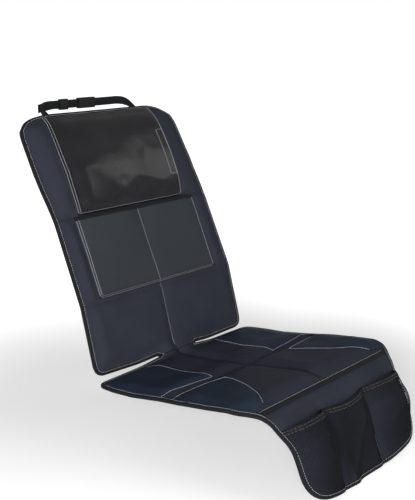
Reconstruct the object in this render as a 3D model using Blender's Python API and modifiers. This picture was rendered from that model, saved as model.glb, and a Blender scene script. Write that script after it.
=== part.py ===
"""Padded car seat protector: a quilted mat for the back and the cushion of a car seat.

The mat is drawn flat, as it would be cut, and then laid over the seat. In the flat drawing X runs
across the mat, Y runs along it from the front flap to the top of the back, with 0 at the crease,
and Z is the height above the visible cloth. The function drape turns those into the place in the
car: +Z up, -Y forward, origin on the underside of the cushion part.
"""
import math

import bmesh
import bpy
from mathutils import Vector

MM = 0.001
GAP = 0.3 * MM
LAYER_GAP = 0.6 * MM

# Lengths along the mat and their lean: recline from the vertical on the back,
# rise from the horizontal on the cushion and the flap
LOWER_BACK = 152 * MM
MIDDLE_BACK = 183 * MM
UPPER_BACK = 93 * MM
SHOULDER_BACK = 82 * MM
TOP_TURN = 30 * MM
TOP_EDGE = 25 * MM
REAR_CUSHION = 110 * MM
MIDDLE_CUSHION = 140 * MM
FRONT_CUSHION = 95 * MM
FRONT_TURN = 30 * MM
FRONT_EDGE = 20 * MM
FLAP_TURN = 25 * MM
FLAP_UPPER = 60 * MM
FLAP_LOWER = 113 * MM

BACK_RUNS = (
    (LOWER_BACK, 14.8), (MIDDLE_BACK, 23.9), (UPPER_BACK, 21.7),
    (SHOULDER_BACK, 28.5), (TOP_TURN, 32.0), (TOP_EDGE, 52.0),
)
FRONT_RUNS = (
    (REAR_CUSHION, 3.0), (MIDDLE_CUSHION, 8.0), (FRONT_CUSHION, 6.5), (FRONT_TURN, -5.0),
    (FRONT_EDGE, -14.0), (FLAP_TURN, -40.0), (FLAP_UPPER, -60.0), (FLAP_LOWER, -68.0),
)
BEND_RADIUS = 40 * MM
SLIGHT_TURN = math.radians(10)
CREASE_RADIUS = 43 * MM
CREASE_SIDE_RADIUS = 14 * MM
CREASE_SPREAD = 70 * MM

# Stations along the mat
FOLD_LOW = LOWER_BACK
FOLD_HIGH = FOLD_LOW + MIDDLE_BACK
BACK_TOP = FOLD_HIGH + UPPER_BACK + SHOULDER_BACK + TOP_TURN + TOP_EDGE
FRONT_SEAM = -(REAR_CUSHION + MIDDLE_CUSHION + FRONT_CUSHION + FRONT_TURN + FRONT_EDGE)
FLAP_END = FRONT_SEAM - FLAP_TURN - FLAP_UPPER - FLAP_LOWER
CREASE_REACH = CREASE_RADIUS * math.tan(math.radians(90.0 - BACK_RUNS[0][1] + FRONT_RUNS[0][1]) / 2)
ROLL_START = FOLD_HIGH - 20 * MM
WAVE_START = FRONT_SEAM - 20 * MM

# Half widths of the cut mat; the cushion widens forwards and the flap is narrower than it
BACK_HALF = 237 * MM
BACK_WAIST = 3 * MM
SHOULDER_HALF = BACK_HALF - BACK_WAIST
CUSHION_REAR_HALF = 246 * MM
MIDDLE_FLARE = 8 * MM
CUSHION_MIDDLE_HALF = CUSHION_REAR_HALF + MIDDLE_FLARE
FRONT_FLARE = 6 * MM
CUSHION_FRONT_HALF = CUSHION_MIDDLE_HALF + FRONT_FLARE
FLAP_STEP = 38 * MM
FLAP_TOP_HALF = CUSHION_FRONT_HALF - FLAP_STEP
FLAP_TAPER = 22 * MM
FLAP_HALF = FLAP_TOP_HALF - FLAP_TAPER
BRIDGE_HALF = 58 * MM
SLIT_HALF = 9 * MM
SLIT_TIP_HALF = 7.2 * MM

# Corners of the outline: their stations from the front seam or the crease, and their radii
FLAP_NARROW = 70 * MM
FLAP_ROOT = 10 * MM
FRONT_SHOULDER = 32 * MM
FRONT_WIDE = 95 * MM
FRONT_WIDE_END = 160 * MM
MIDDLE_WIDE = 215 * MM
REAR_WIDE = 60 * MM
CORNER_DRAW = 4 * MM
TOP_CORNER = 60 * MM
FLAP_CORNER = 62 * MM
SIDE_CURVE = 60 * MM
LONG_CURVE = 90 * MM
SLIT_CORNER = 26 * MM
SLIT_TIP = 7 * MM

# Layers, measured down from the visible cloth
FACE = 1.5 * MM
FOAM = 5.0 * MM
BACKING = 1.2 * MM
MAT_UNDER = FACE + FOAM + BACKING + 2 * LAYER_GAP
FLAP_CLOTH = 1.9 * MM

# Edge binding
BINDING_WIDTH = 12 * MM
BINDING_WALL = 1.5 * MM
BINDING_LIP = 1.0 * MM
LAYER_INSET = BINDING_WALL + LAYER_GAP

# Side roll of the upper back and the wave of the hanging flap
SIDE_ROLL = 14 * MM
SIDE_ROLL_START = 140 * MM
SIDE_ROLL_LENGTH = 130 * MM
SIDE_WAVE = 20 * MM
SIDE_WAVE_SHARE = 0.85
CENTRE_WAVE = 4.5 * MM
WAVE_LENGTH = 130 * MM
ROLL_STEP = 27 * MM
WAVE_STEP = 29 * MM

# Window pocket of clear film
WINDOW_LEFT = -168 * MM
WINDOW_RIGHT = 153 * MM
WINDOW_BOTTOM = FOLD_HIGH + 2 * MM
WINDOW_TOP = BACK_TOP - 22 * MM
FILM = 0.6 * MM
WINDOW_DEPTH = 9 * MM
WINDOW_RISE = 50 * MM
STRIP_WIDTH = 20 * MM
STRIP_LENGTH = 106 * MM
STRIP_RISE = 52 * MM
STRIP_BOTTOM = FOLD_HIGH + STRIP_RISE
STRIP_THICKNESS = 1.2 * MM
STRIP_MARGIN = 2 * MM

# Organiser pocket
ORGANISER_HALF = 184 * MM
ORGANISER_BOTTOM = FOLD_LOW + 6 * MM
ORGANISER_TOP = FOLD_HIGH - 6 * MM
ORGANISER_CLOTH = 1.2 * MM
ORGANISER_DEPTH = 9 * MM
TAPE = 1.0 * MM
TAPE_WIDTH = 9 * MM

# Net pockets on the flap
POCKET_SPLIT = 72 * MM
NET_DROP = 41 * MM
NET_TOP = FRONT_SEAM - NET_DROP
NET = 0.9 * MM
NET_DEPTH = 24 * MM
CENTRE_NET_DEPTH = 14 * MM
NET_SAG = 9 * MM
SIDE_SAG = 2 * MM
POCKET_SEAM = 3 * MM
SIDE_POCKET_RISE = 20 * MM
POCKET_CORNER = FLAP_CORNER - BINDING_WIDTH

# Corner patches on the cushion; the front ones curve outwards to the seam in steps of (out, ahead)
PATCH = 1.0 * MM
PATCH_GAP_HALF = 14 * MM
PATCH_MIDDLE = 196 * MM
PATCH_SLANT = 5 * MM
PATCH_MARGIN = 6 * MM
REAR_PATCH_WIDTH = 146 * MM
REAR_PATCH_INNER = CUSHION_REAR_HALF - REAR_PATCH_WIDTH
REAR_PATCH_TAPER = 12 * MM
FRONT_PATCH_WIDTH = 152 * MM
FRONT_PATCH_INNER = CUSHION_FRONT_HALF - FRONT_PATCH_WIDTH
FRONT_PATCH_CURVE = ((0, 15 * MM), (15 * MM, 65 * MM), (42 * MM, 115 * MM), (69 * MM, 150 * MM))
FRONT_PATCH_TIP = 72 * MM
FRONT_PATCH_END = CUSHION_FRONT_HALF - FRONT_PATCH_TIP

# Head restraint strap: sewn ends, turns and the straight run behind the top edge
STRAP_WIDTH = 18 * MM
STRAP = 1.4 * MM
STRAP_BASE = 132 * MM
STRAP_DROP = 7 * MM
STRAP_SEWN = 6 * MM
STRAP_BACK = 36 * MM
STRAP_TURN = 88 * MM
STRAP_HEIGHT = 14 * MM
SEWN_RISE = (12 * MM, 6 * MM, 2 * MM)
TURN_OUTER = (16 * MM, -15 * MM, -5 * MM)
TURN_INNER = (4 * MM, -3 * MM, -1 * MM)
TURN_END = 8 * MM

# Buckle, slider and the free tail of the webbing
BUCKLE_LEFT = -25 * MM
SOCKET_LENGTH = 32 * MM
PLUG_LENGTH = 16 * MM
BUCKLE_WIDTH = 23 * MM
BUCKLE_THICK = 9 * MM
BUCKLE_WALL = 1.6 * MM
SOCKET_BAR = 8 * MM
PRONG_LENGTH = 21 * MM
PRONG_WIDTH = 3 * MM
PRONG_CLEARANCE = 0.6 * MM
GUIDE_SETBACK = 5 * MM
SLIDER_LENGTH = 22 * MM
SLIDER_THICK = 8 * MM
SLIDER_RIM = 2.5 * MM
SLIDER_GAP = 1 * MM
TAIL_LENGTH = 57 * MM
TAIL_BACK = 2 * MM
TAIL_DROOP = 6 * MM


def clear_scene():
    """Start from an empty scene."""
    for item in list(bpy.data.objects):
        bpy.data.objects.remove(item, do_unlink=True)


def new_collection(name):
    """A collection linked to the scene."""
    collection = bpy.data.collections.new(name)
    bpy.context.scene.collection.children.link(collection)
    return collection


def make_material(name, colour, roughness, metallic=0.0):
    """A plain Principled finish."""
    material = bpy.data.materials.new(name)
    material.use_nodes = True
    shader = material.node_tree.nodes["Principled BSDF"]
    shader.inputs["Base Color"].default_value = (*colour, 1.0)
    shader.inputs["Roughness"].default_value = roughness
    shader.inputs["Metallic"].default_value = metallic
    return material


def ease(value, start, end):
    """Smooth step from 0 at start to 1 at end."""
    t = min(1.0, max(0.0, (value - start) / (end - start)))
    return t * t * (3 - 2 * t)


# Side profile of the draped mat

def profile_corners():
    """Corners of the side profile as (station, y, z, tangent angle before, after)."""
    front = []
    station, y, z = 0.0, 0.0, 0.0
    for length, rise in FRONT_RUNS:
        front.append((station, y, z, math.radians(-rise)))
        station -= length
        y -= length * math.cos(math.radians(rise))
        z += length * math.sin(math.radians(rise))
    corners = [(station, y, z, front[-1][3], front[-1][3])]
    for before, after in zip(reversed(front[1:]), reversed(front[:-1])):
        corners.append((before[0], before[1], before[2], before[3], after[3]))
    angle = front[0][3]
    station, y, z = 0.0, 0.0, 0.0
    for length, lean in BACK_RUNS:
        heading = math.radians(90.0 - lean)
        corners.append((station, y, z, angle, heading))
        angle = heading
        station += length
        y += length * math.cos(heading)
        z += length * math.sin(heading)
    corners.append((station, y, z, angle, angle))
    return corners


CORNERS = profile_corners()


def bend_radius(station, across):
    """Radius of the bend at a corner; the crease is tight beyond its bridge."""
    if abs(station) > MM:
        return BEND_RADIUS
    side = ease(abs(across), BRIDGE_HALF, BRIDGE_HALF + CREASE_SPREAD)
    return CREASE_RADIUS + (CREASE_SIDE_RADIUS - CREASE_RADIUS) * side


def side_point(along, across):
    """Place (y, z) on the profile and its tangent angle at a station."""
    start = CORNERS[0]
    for corner in CORNERS:
        if corner[0] <= along:
            start = corner
    for station, y, z, before, after in CORNERS:
        turn = after - before
        if abs(turn) < 1e-6:
            continue
        radius = bend_radius(station, across)
        reach = radius * math.tan(abs(turn) / 2)
        if abs(along - station) < reach:
            share = (along - station + reach) / (2 * reach)
            angle = before + turn * share
            sign = math.copysign(1.0, turn)
            first_y = y - reach * math.cos(before)
            first_z = z - reach * math.sin(before)
            centre_y = first_y - sign * radius * math.sin(before)
            centre_z = first_z + sign * radius * math.cos(before)
            place_y = centre_y + sign * radius * math.sin(angle)
            place_z = centre_z - sign * radius * math.cos(angle)
            return place_y, place_z, angle
    station, y, z, before, after = start
    run = along - station
    return y + run * math.cos(after), z + run * math.sin(after), after


def lift(across, along):
    """How far the mat stands off its profile: side roll of the back, wave of the flap."""
    roll = SIDE_ROLL * ease(abs(across), SIDE_ROLL_START, BACK_HALF)
    roll *= ease(along, ROLL_START, ROLL_START + SIDE_ROLL_LENGTH)
    hang = ease(WAVE_START - along, 0.0, WAVE_LENGTH)
    side = max(0.0, (abs(across) - POCKET_SPLIT) / (FLAP_HALF - POCKET_SPLIT))
    middle = math.cos(math.pi * min(1.0, abs(across) / POCKET_SPLIT) / 2) ** 2
    wave = SIDE_WAVE * math.sin(math.pi * SIDE_WAVE_SHARE * side) - CENTRE_WAVE * middle
    return wave * hang - roll


def profile_place(across, along, out):
    """Draped place before the origin is moved to the underside of the cushion."""
    y, z, angle = side_point(along, across)
    off = out + lift(across, along)
    return Vector((across, y - off * math.sin(angle), z + off * math.cos(angle)))


def under_middle(first, last):
    """Middle of the flat underside strip between two bends."""
    return (profile_place(0.0, first, -MAT_UNDER) + profile_place(0.0, last, -MAT_UNDER)) / 2


SEAT_REST = under_middle(-REAR_CUSHION, -REAR_CUSHION - MIDDLE_CUSHION)


def drape(across, along, out):
    """Place in the car of a point of the flat drawing."""
    return profile_place(across, along, out) - SEAT_REST


# Flat drawing helpers

def rounded(points, step_turn=math.radians(24)):
    """Polyline through (x, y, radius) corners, each rounded by a curve in steps of the given turn."""
    path = []
    count = len(points)
    for index, (x, y, radius) in enumerate(points):
        here = Vector((x, y))
        if radius <= 0:
            path.append(here)
            continue
        back = (Vector(points[index - 1][:2]) - here)
        ahead = (Vector(points[(index + 1) % count][:2]) - here)
        angle = back.angle(ahead)
        reach = min(radius / math.tan(angle / 2), back.length * 0.49, ahead.length * 0.49)
        steps = math.ceil((math.pi - angle) / step_turn)
        first = here + back.normalized() * reach
        last = here + ahead.normalized() * reach
        for step in range(steps + 1):
            t = step / steps
            path.append(first * (1 - t) ** 2 + here * 2 * t * (1 - t) + last * t ** 2)
    return path


def mat_outline():
    """Closed outline of the whole mat, with the slits beside the crease bridge."""
    half = [
        (FLAP_HALF, FLAP_END, FLAP_CORNER),
        (FLAP_HALF, FRONT_SEAM - FLAP_NARROW, SIDE_CURVE),
        (FLAP_TOP_HALF, FRONT_SEAM - FLAP_ROOT, SIDE_CURVE),
        (CUSHION_FRONT_HALF - CORNER_DRAW, FRONT_SEAM + FRONT_SHOULDER, SIDE_CURVE),
        (CUSHION_FRONT_HALF, FRONT_SEAM + FRONT_WIDE, LONG_CURVE),
        (CUSHION_FRONT_HALF, FRONT_SEAM + FRONT_WIDE_END, SIDE_CURVE),
        (CUSHION_MIDDLE_HALF, FRONT_SEAM + MIDDLE_WIDE, SIDE_CURVE),
        (CUSHION_MIDDLE_HALF, -REAR_WIDE, SIDE_CURVE),
        (CUSHION_REAR_HALF, -SLIT_HALF, SLIT_CORNER),
        (BRIDGE_HALF, -SLIT_TIP_HALF, SLIT_TIP),
        (BRIDGE_HALF, SLIT_TIP_HALF, SLIT_TIP),
        (BACK_HALF, SLIT_HALF, SLIT_CORNER),
        (BACK_HALF, FOLD_LOW, 0),
        (SHOULDER_HALF, FOLD_HIGH, 0),
        (BACK_HALF, FOLD_HIGH + UPPER_BACK, LONG_CURVE),
        (BACK_HALF - CORNER_DRAW, BACK_TOP, TOP_CORNER),
    ]
    mirrored = [(-x, y, radius) for x, y, radius in reversed(half)]
    return rounded(half + mirrored)


def inset(path, distance):
    """The closed path moved inwards by a distance, corner by corner."""
    moved = []
    for index, here in enumerate(path):
        before = (here - path[index - 1]).normalized()
        after = (path[(index + 1) % len(path)] - here).normalized()
        side = Vector((-before.y - after.y, before.x + after.x)).normalized()
        cosine = max(0.5, side.dot(Vector((-after.y, after.x))))
        moved.append(here + side * (distance / cosine))
    return moved


def stations():
    """Lines across the mat where it bends."""
    lines = []
    for station, _, _, before, after in CORNERS[1:-1]:
        if abs(station) < MM:
            lines += [CREASE_REACH * step / 4 for step in range(-4, 5)]
        elif abs(after - before) < SLIGHT_TURN:
            lines.append(station)
        else:
            reach = BEND_RADIUS * math.tan(abs(after - before) / 2)
            lines += [station - reach, station, station + reach]
    lines += [ROLL_START] + [FOLD_HIGH + step * ROLL_STEP for step in range(1, 5)]
    lines += [WAVE_START] + [FRONT_SEAM - step * WAVE_STEP for step in range(2, 7)]
    return sorted(lines)


STATIONS = stations()


def both_sides(values):
    """The same distances to the left and to the right of the middle."""
    return [sign * value for sign in (-1, 1) for value in values]


# Lines along the mat, each set only where the mat also bends across: station range and distances
CENTRE_CUTS = [0.0] + both_sides([step * POCKET_SPLIT / 3 for step in (1, 2, 3)])
SIDE_SPAN = FLAP_HALF - BINDING_WIDTH - POCKET_SPLIT
FLAP_CUTS = CENTRE_CUTS + both_sides([POCKET_SPLIT + step * SIDE_SPAN / 5 for step in range(1, 6)])
ROLL_SPAN = BACK_HALF - BINDING_WIDTH - SIDE_ROLL_START
ROLL_CUTS = both_sides([SIDE_ROLL_START + step * ROLL_SPAN / 4 for step in range(5)])
ACROSS_CUTS = (
    (-CREASE_REACH, CREASE_REACH, both_sides([BRIDGE_HALF + step * CREASE_SPREAD / 5 for step in range(6)])),
    (ROLL_START, BACK_TOP, ROLL_CUTS),
    (FLAP_END, WAVE_START, FLAP_CUTS),
)


def cut_lines(mesh):
    """Cut the flat mesh where it will bend."""
    for value in STATIONS:
        geometry = mesh.verts[:] + mesh.edges[:] + mesh.faces[:]
        bmesh.ops.bisect_plane(mesh, geom=geometry, dist=1e-6, plane_co=(0, value, 0), plane_no=(0, 1, 0))
    for low, high, values in ACROSS_CUTS:
        for value in values:
            faces = [face for face in mesh.faces
                     if all(low - 1e-5 < vert.co.y < high + 1e-5 for vert in face.verts)]
            edges = {edge for face in faces for edge in face.edges}
            verts = {vert for face in faces for vert in face.verts}
            geometry = list(verts) + list(edges) + faces
            bmesh.ops.bisect_plane(mesh, geom=geometry, dist=1e-6, plane_co=(value, 0, 0), plane_no=(1, 0, 0))


def split_quads(mesh):
    """Give every four-sided cell the same diagonal, and cut the rest into triangles."""
    for face in [face for face in mesh.faces if len(face.verts) == 4]:
        ranked = sorted(face.verts, key=lambda vert: vert.co.x + vert.co.y)
        low, high = ranked[0], ranked[-1]
        if not any(low in edge.verts and high in edge.verts for edge in face.edges):
            bmesh.utils.face_split(face, low, high)
    bmesh.ops.triangulate(mesh, faces=[face for face in mesh.faces if len(face.verts) > 3])


def finish_object(mesh, name, material, collection, is_open=False):
    """Turn a bmesh into a named object; an open sheet keeps the side it was drawn with."""
    if not is_open:
        bmesh.ops.recalc_face_normals(mesh, faces=mesh.faces)
    data = bpy.data.meshes.new(name)
    mesh.to_mesh(data)
    mesh.free()
    item = bpy.data.objects.new(name, data)
    data.materials.append(material)
    collection.objects.link(item)
    return item


def drape_mesh(mesh):
    """Move every point of the flat mesh to its place in the car."""
    for vert in mesh.verts:
        vert.co = drape(*vert.co)


def slab(name, path, low, high, material, collection, along_range=None):
    """A flat layer with the given outline and thickness, laid over the seat."""
    mesh = bmesh.new()
    mesh.faces.new([mesh.verts.new((point.x, point.y, low)) for point in path])
    if along_range:
        for value, direction in ((along_range[0], -1), (along_range[1], 1)):
            geometry = mesh.verts[:] + mesh.edges[:] + mesh.faces[:]
            bmesh.ops.bisect_plane(mesh, geom=geometry, dist=1e-6, plane_co=(0, value, 0),
                                   plane_no=(0, direction, 0), clear_outer=True)
    cut_lines(mesh)
    bmesh.ops.remove_doubles(mesh, verts=mesh.verts, dist=0.00001)
    split_quads(mesh)
    grown = bmesh.ops.extrude_face_region(mesh, geom=mesh.faces[:])
    top = [item for item in grown["geom"] if isinstance(item, bmesh.types.BMVert)]
    bmesh.ops.translate(mesh, verts=top, vec=(0, 0, high - low))
    drape_mesh(mesh)
    return finish_object(mesh, name, material, collection)


def rectangle(left, right, bottom, top):
    """Four corners as a path."""
    return [Vector((left, bottom)), Vector((right, bottom)), Vector((right, top)), Vector((left, top))]


def shell(name, bounds, cells, shape, thickness, material, collection, sag=None, path=None):
    """A sheet drawn flat, raised by shape(x, y), laid over the seat and given a thickness."""
    left, right = bounds[:2]
    count, rows = cells
    mesh = bmesh.new()
    mesh.faces.new([mesh.verts.new((point.x, point.y, 0.0)) for point in path or rectangle(*bounds)])
    columns = [left + (right - left) * step / count for step in range(1, count)]
    for place, normal in [((x, 0, 0), (1, 0, 0)) for x in columns] + [((0, y, 0), (0, 1, 0)) for y in rows]:
        geometry = mesh.verts[:] + mesh.edges[:] + mesh.faces[:]
        bmesh.ops.bisect_plane(mesh, geom=geometry, dist=1e-6, plane_co=place, plane_no=normal)
    cut_lines(mesh)
    bmesh.ops.remove_doubles(mesh, verts=mesh.verts, dist=0.5 * MM)
    split_quads(mesh)
    for vert in mesh.verts:
        x, y, _ = vert.co
        if sag:
            y -= sag(x, y)
        vert.co = drape(x, y, shape(x, y))
    item = finish_object(mesh, name, material, collection, is_open=True)
    solid = item.modifiers.new("Thickness", "SOLIDIFY")
    solid.thickness = thickness
    solid.offset = 1.0
    solid.use_even_offset = True
    return item


# Mat

def mat_under(along):
    """Depth of the mat's underside; the flap is a single cloth."""
    thin = ease(FRONT_SEAM - along, 2 * MM, 28 * MM)
    return MAT_UNDER + (FLAP_CLOTH + BACKING + LAYER_GAP - MAT_UNDER) * thin


def build_binding(outline, material, collection):
    """Folded tape round the whole edge: a channel section that follows the outline."""
    mesh = bmesh.new()
    lip_top = LAYER_GAP + BINDING_LIP
    low = -MAT_UNDER
    section = [
        (0.0, lip_top), (BINDING_WIDTH, lip_top), (BINDING_WIDTH, LAYER_GAP), (BINDING_WALL, LAYER_GAP),
        (BINDING_WALL, low + BACKING), (BINDING_WIDTH, low + BACKING), (BINDING_WIDTH, low), (0.0, low),
    ]
    loops = []
    for depth, height in section:
        path = inset(outline, depth) if depth > 0 else outline
        loops.append([mesh.verts.new((point.x, point.y, height)) for point in path])
    for first, second in zip(loops, loops[1:] + loops[:1]):
        for index in range(len(first)):
            after = (index + 1) % len(first)
            mesh.faces.new((first[index], first[after], second[after], second[index]))
    cut_lines(mesh)
    split_quads(mesh)
    for vert in mesh.verts:
        if vert.co.z < 0:
            vert.co.z += MAT_UNDER - mat_under(vert.co.y)
    drape_mesh(mesh)
    return finish_object(mesh, "edge_binding", material, collection)


def build_mat(outline, cloth, foam, backing, collection):
    """Visible cloth, foam and non-slip backing of the back and of the cushion."""
    spans = {"back": (GAP / 2, BACK_TOP), "cushion": (FRONT_SEAM + GAP / 2, -GAP / 2)}
    inner = inset(outline, LAYER_INSET)
    under = inset(outline, BINDING_WIDTH + LAYER_GAP)
    foam_top = -FACE - LAYER_GAP
    foam_low = foam_top - FOAM
    for part, span in spans.items():
        slab(part + "_cloth", inner, -FACE, 0.0, cloth, collection, span)
        slab(part + "_foam", inner, foam_low, foam_top, foam, collection, span)
        slab(part + "_backing", under, -MAT_UNDER, -MAT_UNDER + BACKING, backing, collection, span)


def build_patches(outline, material, collection):
    """Four corner patches on the cushion."""
    edge = inset(outline, BINDING_WIDTH + GAP)
    outer = CUSHION_MIDDLE_HALF - BINDING_WIDTH - GAP
    rear_y = -PATCH_MIDDLE + PATCH_GAP_HALF
    front_y = -PATCH_MIDDLE - PATCH_GAP_HALF
    seam_y = FRONT_SEAM + PATCH_MARGIN
    slit_y = -SLIT_HALF - BINDING_WIDTH - STRIP_MARGIN
    for sign, side in ((-1, "left"), (1, "right")):
        side_run = [point for point in edge if point.x * sign > REAR_PATCH_INNER]
        rear_run = [point for point in side_run if rear_y + PATCH_SLANT < point.y < 0]
        front_run = [point for point in side_run if seam_y < point.y < front_y]
        rear = [
            (outer, rear_y + PATCH_SLANT),
            (REAR_PATCH_INNER, rear_y - PATCH_SLANT),
            (REAR_PATCH_INNER, slit_y - 2 * REAR_PATCH_TAPER),
            (REAR_PATCH_INNER + REAR_PATCH_TAPER, slit_y),
        ]
        front = [(outer, front_y + PATCH_SLANT)]
        front += [(FRONT_PATCH_INNER + out, front_y - ahead) for out, ahead in FRONT_PATCH_CURVE]
        front.append((FRONT_PATCH_END, seam_y))
        rear = [Vector((sign * x, y)) for x, y in rear]
        front = [Vector((sign * x, y)) for x, y in front]
        rear += sorted(rear_run, key=lambda point: math.atan2(-point.y, point.x * sign))[1:]
        front += sorted(front_run, key=lambda point: point.y)
        for name, path in (("rear_patch_", rear), ("front_patch_", front)):
            slab(name + side, path, GAP, GAP + PATCH, material, collection)


# Pockets

def arch(t):
    """Broad hump from 0 to 1 and back over t from 0 to 1."""
    return max(0.0, 1.0 - (2 * t - 1) ** 4)


def window_shape(x, y):
    """Height of the film: sewn at the left, top and bottom, standing off at its open right edge."""
    side = ease(x, WINDOW_LEFT, WINDOW_LEFT + WINDOW_RISE)
    level = (y - WINDOW_BOTTOM) / (WINDOW_TOP - WINDOW_BOTTOM)
    return GAP + WINDOW_DEPTH * side * arch(level)


def build_window(film, tape, strip, collection):
    """Clear window pocket with its bottom tape and the hook and loop strips of its mouth."""
    columns = 8
    tape_top = WINDOW_BOTTOM + TAPE_WIDTH
    strip_top = STRIP_BOTTOM + STRIP_LENGTH
    strip_rows = [STRIP_BOTTOM + step * STRIP_LENGTH / 4 for step in range(1, 4)]
    rows = [tape_top, (tape_top + STRIP_BOTTOM) / 2, STRIP_BOTTOM, *strip_rows, strip_top]
    rows.append((strip_top + WINDOW_TOP) / 2)
    shell("window_film", (WINDOW_LEFT, WINDOW_RIGHT, WINDOW_BOTTOM, WINDOW_TOP), (columns, rows),
          window_shape, FILM, film, collection)

    def tape_shape(x, y):
        return window_shape(x, y) + LAYER_GAP + FILM

    shell("window_bottom_tape", (WINDOW_LEFT, WINDOW_RIGHT, WINDOW_BOTTOM, tape_top), (columns, []),
          tape_shape, TAPE, tape, collection)
    right = WINDOW_RIGHT - STRIP_MARGIN
    left = right - STRIP_WIDTH

    def hook_shape(x, y):
        return window_shape(x, y) - STRIP_THICKNESS - GAP

    shell("hook_strip", (left, right, STRIP_BOTTOM, strip_top), (1, strip_rows), hook_shape,
          STRIP_THICKNESS, strip, collection)
    slab("loop_strip", rectangle(left, right, STRIP_BOTTOM, strip_top), GAP, GAP + STRIP_THICKNESS,
         strip, collection)


def organiser_shape(x, y):
    """Height of the organiser cloth: sewn at its sides, foot and centre seam, loose at its mouth."""
    lobe = arch((abs(x) / ORGANISER_HALF - 0.03) / 0.97) if abs(x) > 0.03 * ORGANISER_HALF else 0.0
    level = (y - ORGANISER_BOTTOM) / (ORGANISER_TOP - ORGANISER_BOTTOM)
    return GAP + ORGANISER_DEPTH * lobe * ease(level, 0.0, 1.1)


def build_organiser(cloth, tape, collection):
    """Two document pockets made of one cloth with a centre seam."""
    columns = 12
    height = ORGANISER_TOP - ORGANISER_BOTTOM
    rows = [ORGANISER_BOTTOM + TAPE_WIDTH, ORGANISER_BOTTOM + height / 3, ORGANISER_BOTTOM + height * 2 / 3,
            ORGANISER_TOP - TAPE_WIDTH]
    bounds = (-ORGANISER_HALF, ORGANISER_HALF, ORGANISER_BOTTOM, ORGANISER_TOP)
    shell("organiser_pocket", bounds, (columns, rows), organiser_shape, ORGANISER_CLOTH, cloth, collection)

    def tape_shape(x, y):
        return organiser_shape(x, y) + ORGANISER_CLOTH + LAYER_GAP

    for name, low in (("top", ORGANISER_TOP - TAPE_WIDTH), ("bottom", ORGANISER_BOTTOM)):
        shell("organiser_" + name + "_tape", (-ORGANISER_HALF, ORGANISER_HALF, low, low + TAPE_WIDTH),
              (columns, []), tape_shape, TAPE, tape, collection)


def build_flap(outline, cloth, net, tape, collection):
    """Hanging flap with three net pockets and their elastic upper edges."""
    span = (FLAP_END, FRONT_SEAM - GAP / 2)
    slab("front_flap", inset(outline, LAYER_INSET), -FLAP_CLOTH, 0.0, cloth, collection, span)
    foot = FLAP_END + BINDING_WIDTH + POCKET_SEAM / 2
    side = FLAP_HALF - BINDING_WIDTH - POCKET_SEAM / 2
    seam = POCKET_SEAM / 2
    pockets = {
        "left": (-side, -POCKET_SPLIT - seam, foot + SIDE_POCKET_RISE, NET_DEPTH, SIDE_SAG),
        "centre": (-POCKET_SPLIT + seam, POCKET_SPLIT - seam, foot, CENTRE_NET_DEPTH, NET_SAG),
        "right": (POCKET_SPLIT + seam, side, foot + SIDE_POCKET_RISE, NET_DEPTH, SIDE_SAG),
    }
    for name, pocket in pockets.items():
        build_net_pocket(name, pocket, net, tape, collection)


def build_net_pocket(name, pocket, net, tape, collection):
    """One net pocket: sewn at its sides and foot, its upper edge sagging in an elastic tape."""
    left, right, foot, depth, drop = pocket

    def across_share(x):
        return (x - left) / (right - left)

    def sag(x, y):
        return drop * math.sin(math.pi * across_share(x)) * ease(y, foot, NET_TOP)

    def shape(x, y):
        return LAYER_GAP + depth * arch(across_share(x)) * ease((y - foot) / (NET_TOP - foot), 0.0, 0.75)

    def rim_shape(x, y):
        return shape(x, y) + NET + LAYER_GAP

    corner = {"left": (POCKET_CORNER, 0), "centre": (0, 0), "right": (0, POCKET_CORNER)}[name]
    path = rounded([(left, foot, corner[0]), (right, foot, corner[1]), (right, NET_TOP, 0), (left, NET_TOP, 0)])
    rows = [foot + (NET_TOP - foot) / 3, foot + (NET_TOP - foot) * 2 / 3, NET_TOP - TAPE_WIDTH]
    shell("net_pocket_" + name, (left, right, foot, NET_TOP), (4, rows), shape, NET, net, collection, sag, path)
    shell("net_elastic_" + name, (left, right, NET_TOP - TAPE_WIDTH, NET_TOP), (4, []), rim_shape, TAPE,
          tape, collection, sag)


# Head restraint strap

def ribbon(name, centres, widths, thickness, material, collection):
    """Webbing through the given centres; each has a vector along half its width."""
    mesh = bmesh.new()
    pairs = []
    for centre, half in zip(centres, widths):
        pairs.append((mesh.verts.new(centre - half), mesh.verts.new(centre + half)))
    for first, second in zip(pairs, pairs[1:]):
        mesh.faces.new((first[0], second[0], second[1], first[1]))
    bmesh.ops.triangulate(mesh, faces=mesh.faces)
    item = finish_object(mesh, name, material, collection, is_open=True)
    solid = item.modifiers.new("Thickness", "SOLIDIFY")
    solid.thickness = thickness
    solid.offset = 0.0
    return item


def box_mesh(low, high):
    """A box between two corners, as a bmesh."""
    mesh = bmesh.new()
    bmesh.ops.create_cube(mesh, size=1.0)
    centre = (Vector(low) + Vector(high)) / 2
    size = Vector(high) - Vector(low)
    bmesh.ops.scale(mesh, verts=mesh.verts, vec=size)
    bmesh.ops.translate(mesh, verts=mesh.verts, vec=centre)
    return mesh


def combine_box(item, low, high, operation, cutters):
    """Cut a box out of an object, or join it on, with an exact Boolean."""
    name = item.name + "_" + operation.lower()
    cutter = finish_object(box_mesh(low, high), name, item.data.materials[0], cutters)
    cutter.hide_render = True
    cutter.display_type = "WIRE"
    boolean = item.modifiers.new(operation.title(), "BOOLEAN")
    boolean.operation = operation
    boolean.solver = "EXACT"
    boolean.object = cutter


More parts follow.
